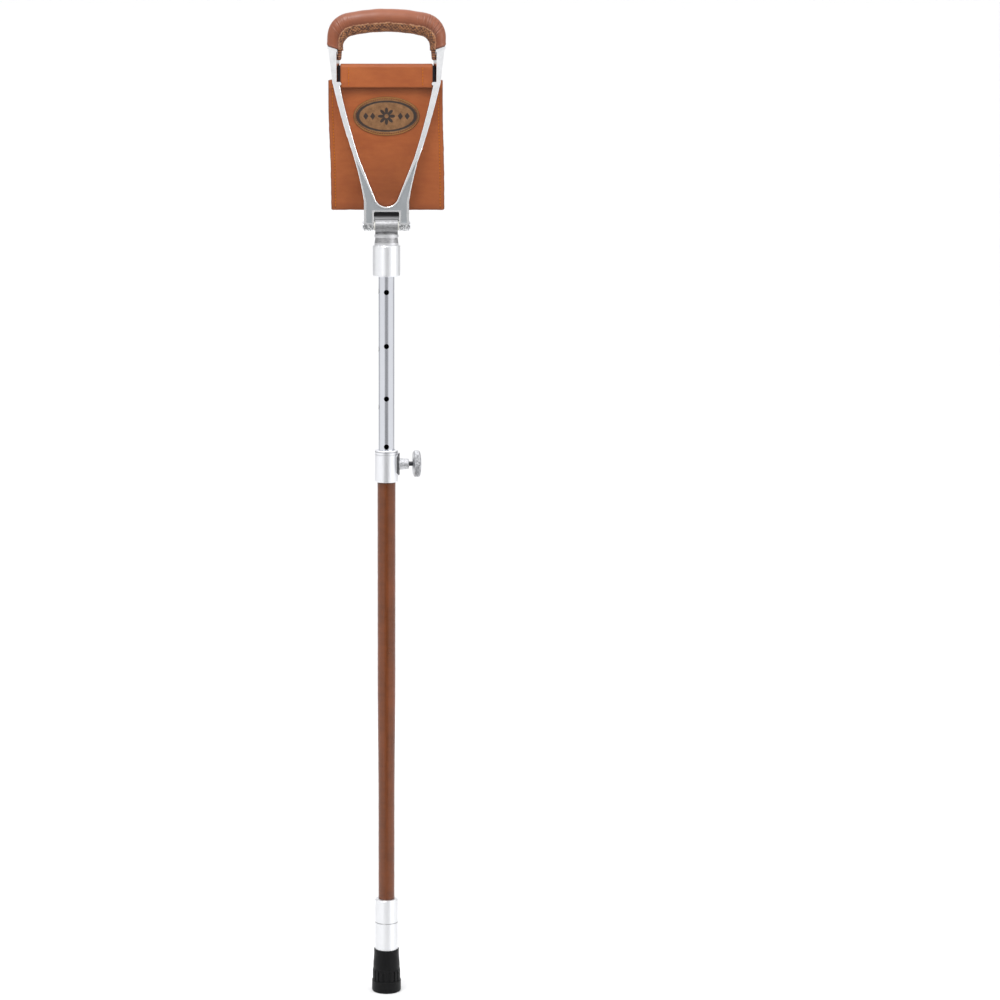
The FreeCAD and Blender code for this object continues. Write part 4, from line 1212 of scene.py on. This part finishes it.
    def _roll(self, away: float) -> Piece:
        """Rolled leather at the fold: an oval rod whose ends are rounded off.

        Args:
            away: Distance of the fold from the middle plane.

        Returns:
            The rolled fold.
        """
        s = np.linspace(-1.0, 1.0, 130)[:, None]
        t = turns(22)
        tip = dome((np.abs(s) - 0.965) / 0.035)
        uneven = 0.1 * MM * waves((s * self.panel_half).ravel(), 31, 5, 60 * MM, 11 * MM)[:, None]
        x = s * (self.panel_half - 0.2 * MM) + np.where(s < 0, self.lean_left, 0.0) * np.abs(s) + 0 * t
        y = self.side.value * (away + (self.roll_radius * 0.95 * np.cos(t)) * tip)
        z = self.bottom + self.roll_radius + uneven + self.roll_radius * np.sin(t) * tip
        edge = np.clip(bell((1.0 - np.abs(s)) * self.panel_half, 1.0 * MM) * 0.4 + 0.55, 0, 1) + 0 * t
        flat = np.stack([x, t * self.roll_radius + 0 * s], axis=-1)
        rings = np.stack([x, y, z], axis=-1)
        return add_tube(self.side.prefix + "sling_fold", rings, leather_marks(edge), flat)

    def _sew(self, finishes: Finishes, x: Array, layers: list[Array]) -> list[Piece]:
        """Sew both edges of the panel, and the flap near both of its ends.

        Args:
            finishes: All finishes of the part.
            x: Sideways place of each point, by rows.
            layers: Outer and inner faces of the leather.

        Returns:
            The rows of stitches.
        """
        made = []
        panel = np.nonzero((np.arange(len(x)) > len(x) * 0.27))[0][:-3]
        flap = np.arange(3, int(len(x) * 0.125))
        left, right = (np.full(len(flap), place) for place in self.flap_seams)
        lines = [("edge_left", x[panel, 0] + self.stitch_inset, panel, (0, 1)),
                 ("edge_right", x[panel, -1] - self.stitch_inset, panel, (0, 1)),
                 ("flap_left", left, flap, (1,)), ("flap_right", right, flap, (1,))]
        sewn = Stitches(length=2.3 * MM, radius=0.46 * MM)
        for label, place, rows, faces in lines:
            column = np.argmin(np.abs(x[rows] - place[:, None]), axis=1)
            for face in faces:
                line = layers[face][rows, column].copy()
                line[:, 0] = place
                out = layers[face][rows, column] - layers[1 - face][rows, column]
                out[:, 0] = 0.0
                name = f"{self.side.prefix}thread_{label}" + ("_inside" if face else "")
                made.append(dress(sewn.build(name, line, unit(out)), finishes.thread))
        return made


@dataclass
class Badge:
    """Oval suede patch on the front of the sling, sewn round its rim."""

    half_width: float = 32.7 * MM
    half_height: float = 19.1 * MM
    thickness: float = 1.0 * MM
    rim: float = 2.1 * MM
    bead_lean: float = 0.5
    count: int = 96

    def build(self, finishes: Finishes) -> None:
        """Make the patch and its stitches.

        A square grid (u, v) becomes an oval by x = a u sqrt(1 - v^2 / 2) and z = b v sqrt(1 - u^2 / 2).
        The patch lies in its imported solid's leaning plane.

        Args:
            finishes: All finishes of the part.
        """
        low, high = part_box("seat_patch")
        lean = (high.y - low.y - self.thickness) / (high.z - low.z)
        centre_z = (high.z + low.z) / 2
        back_y = high.y - lean * (high.z - low.z) / 2
        u, v = np.meshgrid(*[np.linspace(-1, 1, self.count)] * 2)
        x = self.half_width * u * np.sqrt(1.0 - v ** 2 / 2)
        z = self.half_height * v * np.sqrt(1.0 - u ** 2 / 2)
        reach = np.hypot(x / self.half_width, z / self.half_height)
        inset = (1.0 - reach) * (self.half_height + self.half_width) / 2
        skin = self.thickness * dome(1.0 - inset / (0.9 * MM)) - 0.25 * MM * bell(inset - self.rim, 0.6 * MM)
        front, back = (np.stack([x, back_y - lean * z - out, centre_z + z], axis=-1)
                       for out in (skin, -0.15 * MM))
        marks = {"edge": bell(inset, 0.5 * MM)}
        patch = add_sheet("sling_badge", front, back, marks, np.stack([x, z], axis=-1))
        dress(patch, finishes.badge)
        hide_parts("seat_patch")
        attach(patch, Side.FRONT.sling_body)
        t = np.linspace(0.0, 2.0 * math.pi, 400)
        a, b = self.half_width - self.rim, self.half_height - self.rim
        line = np.stack([a * np.cos(t), back_y - lean * b * np.sin(t) - self.thickness * 0.75,
                         centre_z + b * np.sin(t)], axis=1)
        normals = np.tile(np.array([[0.0, -1.0, 0.0]]), (len(t), 1))
        beads = Stitches(length=1.9 * MM, pitch=2.25 * MM, radius=0.5 * MM)
        row = beads.build("badge_thread", line, normals, self.bead_lean)
        dress(row, finishes.dark_thread)
        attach(row, Side.FRONT.sling_body)


@dataclass
class ShaftCover:
    """Leather drawn over the lower tube, butted and sewn down the back."""

    taper_bottom: float = 214.0 * MM
    taper_top: float = 318.0 * MM
    low_radius: float = 8.3 * MM
    seam_width: float = 0.5 * MM
    thread_place: float = 1.5 * MM
    rows: int = 500
    columns: int = 96

    def build(self, finishes: Finishes) -> None:
        """Make the cover and its seam.

        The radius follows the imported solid's taper, less a narrow groove at the back, and the skin
        is turned in at both ends.

        Args:
            finishes: All finishes of the part.
        """
        low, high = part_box("shaft_leather")
        radius_high = high.x
        z = np.linspace(low.z, high.z, self.rows)
        taper = np.clip((z - self.taper_bottom) / (self.taper_top - self.taper_bottom), 0.0, 1.0)
        radius = self.low_radius + (radius_high - self.low_radius) * taper
        t = turns(self.columns)
        t = t - 0.175 * np.sin(2.0 * t - math.pi)
        off = (t + math.pi / 2) % (2 * math.pi) - math.pi
        drift = 0.4 * MM * waves(z, 41, 4, 160 * MM, 40 * MM)[:, None]
        gap = off * radius[:, None] + drift
        groove = 0.28 * MM * bell(gap, self.seam_width)
        uneven = 0.03 * MM * waves(z, 43, 5, 60 * MM, 9 * MM)[:, None]
        ends = np.minimum(z - low.z, high.z - z)[:, None]
        real = radius[:, None] - groove + uneven - 0.25 * MM * (1.0 - smooth_step(ends, 0.0, 0.8 * MM))
        rings = np.stack([real * np.cos(t), real * np.sin(t), z[:, None] + 0 * t], axis=-1)
        edge = np.clip(bell(gap, 0.55 * MM) * 0.8 + bell(ends, 0.9 * MM), 0.0, 1.0)
        flat = np.stack([off * radius[:, None], z[:, None] + 0 * t], axis=-1)
        cover = add_tube("shaft_cover", rings, leather_marks(edge), flat)
        dress(cover, finishes.shaft)
        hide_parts("shaft_leather")
        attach(cover, "lower_shaft")
        radius, z = radius[6:-6], z[6:-6]
        sewn = Stitches(length=1.9 * MM, pitch=4.0 * MM, radius=0.2 * MM)
        for name, away in (("left", -self.thread_place), ("right", self.thread_place)):
            angle = math.pi / 2 - away / radius
            out = np.stack([np.cos(angle), np.sin(angle), 0 * angle], axis=1)
            line = out * radius[:, None] + np.stack([0 * z, 0 * z, z], axis=1)
            row = dress(sewn.build(f"shaft_thread_{name}", line, out), finishes.dark_thread)
            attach(row, "lower_shaft")


@dataclass
class LockScrew:
    """The lock's threaded shank and knurled knob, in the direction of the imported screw."""

    yaw: float = math.radians(6.0)
    height: float = 548.4 * MM
    pitch: float = 0.8 * MM
    shank_near: float = 15.8 * MM
    shank_radius: float = 2.45 * MM
    thread_depth: float = 0.42 * MM
    knob_near: float = 26.3 * MM
    knob_far: float = 34.1 * MM
    knob_radius: float = 13.25 * MM
    knurls: int = 54
    knurl_depth: float = 0.45 * MM
    knurl_rise: float = 1.75 * MM

    def _turned(self, along: Array, out: Array, t: Array) -> Array:
        """Place a surface of revolution about the screw's axis: distance along it, radius and angle.

        Args:
            along: Distance along the axis.
            out: Radius at that distance.
            t: Angle round the axis.

        Returns:
            Rings of points.
        """
        side, rise = out * np.cos(t), out * np.sin(t)
        x = along * math.cos(self.yaw) - side * math.sin(self.yaw)
        y = along * math.sin(self.yaw) + side * math.cos(self.yaw)
        return np.stack([x, y, self.height + rise + 0 * x], axis=-1)

    def build(self, finishes: Finishes) -> None:
        """Make the shank and the knob.

        The thread's radius falls and rises with the distance of (along / pitch - angle / turn) from
        the nearest whole number. The knob's rim has two families of slanted ridges.

        Args:
            finishes: All finishes of the part.
        """
        along = np.linspace(self.shank_near, self.knob_near + 2 * MM, 260)[:, None]
        t = turns(40)
        phase = along / self.pitch - t / (2.0 * math.pi)
        crest = np.abs(phase - np.round(phase)) * 2.0
        rings = self._turned(along + 0 * t, self.shank_radius - self.thread_depth * crest, t)
        shank = add_tube("lock_thread", rings)
        dress(shank, finishes.dark_steel)
        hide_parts("thumb_screw")
        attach(shank, "thumb_screw")
        self._knob(finishes)

    def _knob(self, finishes: Finishes) -> None:
        """Make the knob: a disc with rounded rims, a dished outer face and a raised hub on the inner one.

        Args:
            finishes: All finishes of the part.
        """
        profile = np.array([
            (0.0, 2.6), (0.0, 6.2), (0.7, 7.0), (0.7, 11.2), (1.0, 12.3), (1.7, 13.0), (2.4, 13.25),
            (5.6, 13.25), (6.5, 13.0), (7.3, 12.2), (7.7, 11.2), (7.8, 10.4), (7.3, 9.7), (7.0, 8.8),
            (6.9, 5.0), (6.9, 0.4)])
        points = profile * MM
        along = travel(points)
        place, out = resample(np.linspace(0.0, along[-1], 150), along, points).T[..., None]
        place = place * (self.knob_far - self.knob_near) / points[:, 0].max()
        t = turns(self.knurls * 8)
        rim = smooth_step(out, self.knob_radius - 1.1 * MM, self.knob_radius - 0.15 * MM)
        slant = place / self.knurl_rise
        rows = [np.abs(np.cos((self.knurls * t + way * math.pi * slant) / 2)) for way in (1.0, -1.0)]
        pit = rim * (1.0 - np.minimum(*rows) * 1.6).clip(0.0, 1.0)
        rings = self._turned(self.knob_near + place + 0 * t, out - self.knurl_depth * pit, t)
        knob = add_tube("lock_knob", rings, {"pit": pit})
        dress(knob, finishes.knurl)
        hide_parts("thumb_knob")
        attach(knob, "thumb_screw")


@dataclass
class Hardware:
    """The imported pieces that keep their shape, listed by their finish."""

    finishes: Finishes
    nodes_of: dict[str, str] = field(default_factory=lambda: {
        "rubber": "rubber_foot",
        "turned": "foot_ferrule shaft_ferrule upper_ferrule",
        "collar": "clamp_collar",
        "drawn": "upper_tube",
        "knuckle": "knuckle",
        "cast": "front_frame rear_frame",
        "black_steel": "front_seat_bar rear_seat_bar",
        "dark_steel": "threaded_insert ferrule_screw",
        "nylon": "collar_bush slide_bush pivot_washers",
        "steel": "foot_washer foot_plug lower_tube collar_rivet locking_pin end_plug front_pivot_pin "
                 "rear_pivot_pin"})

    def dress_nodes(self, nodes: dict[str, Piece]) -> None:
        """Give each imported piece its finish.

        Args:
            nodes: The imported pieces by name.
        """
        for finish, names in self.nodes_of.items():
            for name in names.split():
                materials = nodes[name].data.materials
                materials.clear()
                materials.append(getattr(self.finishes, finish))
            LOG.info("%s: %s", finish, names)


@dataclass
class Studio:
    """Pale floor that curves up into a wall, soft light, and the camera at the photograph's place."""

    distance: float = 3.1
    eye: float = 1.0
    pitch: float = math.radians(9.0)
    lens: float = 112.23
    shift_x: float = 0.1135
    shift_y: float = 0.0028
    flat: float = 4.0
    reach: float = 11.0
    columns: int = 96
    albedo: float = 0.62
    glow: float = 0.3
    zenith: float = 0.65
    strip: tuple[float, float] = (math.radians(12.0), math.radians(36.0))
    foot_strip: tuple[float, float] = (math.radians(26.0), math.radians(44.0))
    strip_top: tuple[float, float] = (0.4, 0.8)
    rear_shade: tuple[float, ...] = (0.56, math.radians(100.0), math.radians(160.0), math.radians(22.0))

    def build(self) -> None:
        """Make floor, light and camera."""
        self._floor()
        self._sky()
        self._lamp("key_lamp", (-0.9, -1.5, 3.4), 1.2, 48.0)
        self._lamp("fill_lamp", (2.2, -1.1, 1.5), 1.0, 16.0)
        camera = bpy.data.objects.new("camera", bpy.data.cameras.new("camera"))
        camera.location = (0.0, -self.distance, self.eye)
        camera.rotation_euler = (math.pi / 2 - self.pitch, 0.0, 0.0)
        settings = {"lens": self.lens, "sensor_width": 36.0, "shift_x": self.shift_x, "shift_y": self.shift_y,
                    "clip_end": 60.0}
        for key, value in settings.items():
            setattr(camera.data, key, value)
        bpy.context.scene.collection.objects.link(camera)
        bpy.context.scene.camera = camera
        bpy.context.scene.view_settings.view_transform = "Standard"

    def _turn(self, tree: Tree, place: Sock) -> Sock:
        """Angle between a place's direction and straight ahead, seen from above."""
        return tree.part(place, "X").angle(tree.part(place, "Y") * -1.0).size()

    def _rear(self, turn: Sock) -> Sock:
        """Share of the full light at an angle: less at both sides behind."""
        deep, start, end, soft = self.rear_shade
        return 1.0 - turn.ramp(start, start + soft) * turn.ramp(end, end - soft) * (1.0 - deep)

    def _floor(self) -> None:
        """Make the floor. Beyond its flat part the height is 0.16 times the square of the distance.

        A dark strip of painted shade in front, on the floor and the wall's foot, gives round metal its middle
        line.
        """
        radius = np.concatenate([np.linspace(0.02, self.flat, 40),
                                 np.linspace(self.flat + 0.2, self.reach, 30)])[:, None]
        t = turns(self.columns)
        height = 0.16 * np.clip(radius - self.flat, 0.0, None) ** 2 + 0 * t
        rings = np.stack([radius * np.cos(t), radius * np.sin(t), height], axis=-1)
        faces = grid_faces(*rings.shape[:2], True)[:, ::-1].tolist() + [list(range(self.columns))]
        mesh = bpy.data.meshes.new("floor")
        mesh.from_pydata(rings.reshape(-1, 3).tolist(), [], faces)
        mesh.polygons.foreach_set("use_smooth", np.ones(len(mesh.polygons), bool))
        floor = bpy.data.objects.new("floor", mesh)
        bpy.context.scene.collection.objects.link(floor)
        tree = Tree("pale_floor")
        place = tree.place()
        away = tree.away(place)
        turn = self._turn(tree, place)
        # Painted shade on the floor: a band in front of the foot, and a strip further out that rises onto the
        # wall's foot.
        start, end = self.foot_strip
        near = turn.ramp(end, start) * away.ramp(0.05, 0.16) * away.ramp(0.8, 0.35) * 0.3
        start, end = self.strip
        low, high = self.strip_top
        far = turn.ramp(end, start) * (away.ramp(0.35, 0.8) * 0.85 - away.ramp(3.3, 4.1) * 0.25)
        dark = near.larger(far * tree.part(place, "Z").ramp(high, low))
        # Painted shade on the wall behind, at both sides.
        share = (1.0 - dark) * (1.0 - (1.0 - self._rear(turn)) * away.ramp(3.3, 4.3))
        colour = tree.blend(share, (0.0, 0.0, 0.0), (self.albedo, self.albedo, self.albedo))
        # Painted light: the floor glows with its own colour, so that it reads white.
        tree.feed(Base_Color=colour, Roughness=0.9, Specular_IOR_Level=0.05, Emission_Color=colour,
                  Emission_Strength=self.glow)
        mesh.materials.append(tree.material)

    def _sky(self) -> None:
        """Light the scene softly from above, with the floor's shades going on upwards."""
        world = bpy.data.worlds.new("soft_light")
        bpy.context.scene.world = world
        tree = Tree("", world)
        place = tree.place("Generated")
        low = tree.part(place, "Z").ramp(0.85, 0.4)
        share = 1.0 - (1.0 - self._rear(self._turn(tree, place))) * low
        light = share * (tree.part(place, "Z").ramp(0.1, 0.9) * self.zenith + 1.0)
        tree.feed(Color=tree.node("ShaderNodeCombineXYZ", {}, {0: light, 1: light, 2: light * 1.01}))

    def _lamp(self, name: str, place: tuple[float, float, float], size: float, power: float) -> None:
        """Add a square soft box that faces the handles.

        Args:
            name: Name of the lamp.
            place: Where it stands, in metres.
            size: Side of the soft box, in metres.
            power: Its power, in watts.
        """
        lamp = bpy.data.lights.new(name, "AREA")
        lamp.size = size
        lamp.energy = power
        item = bpy.data.objects.new(name, lamp)
        aim = np.array([0.0, 0.0, 0.7]) - np.array(place)
        aim /= np.linalg.norm(aim)
        item.location = place
        item.rotation_euler = (math.acos(-aim[2]), 0.0, math.atan2(aim[1], aim[0]) - math.pi / 2)
        bpy.context.scene.collection.objects.link(item)


def main() -> None:
    """Build the part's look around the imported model."""
    logging.basicConfig(level=logging.INFO, format="%(name)s %(message)s")
    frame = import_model()
    finishes = Finishes()
    Hardware(finishes).dress_nodes(frame["nodes"])
    for side in Side:
        grip = Grip(side)
        grip.build(finishes)
        grip.tongues(finishes)
        SlingHalf(side).build(finishes)
    Badge().build(finishes)
    ShaftCover().build(finishes)
    LockScrew().build(finishes)
    Studio().build()


if __name__ == "__main__":
    main()
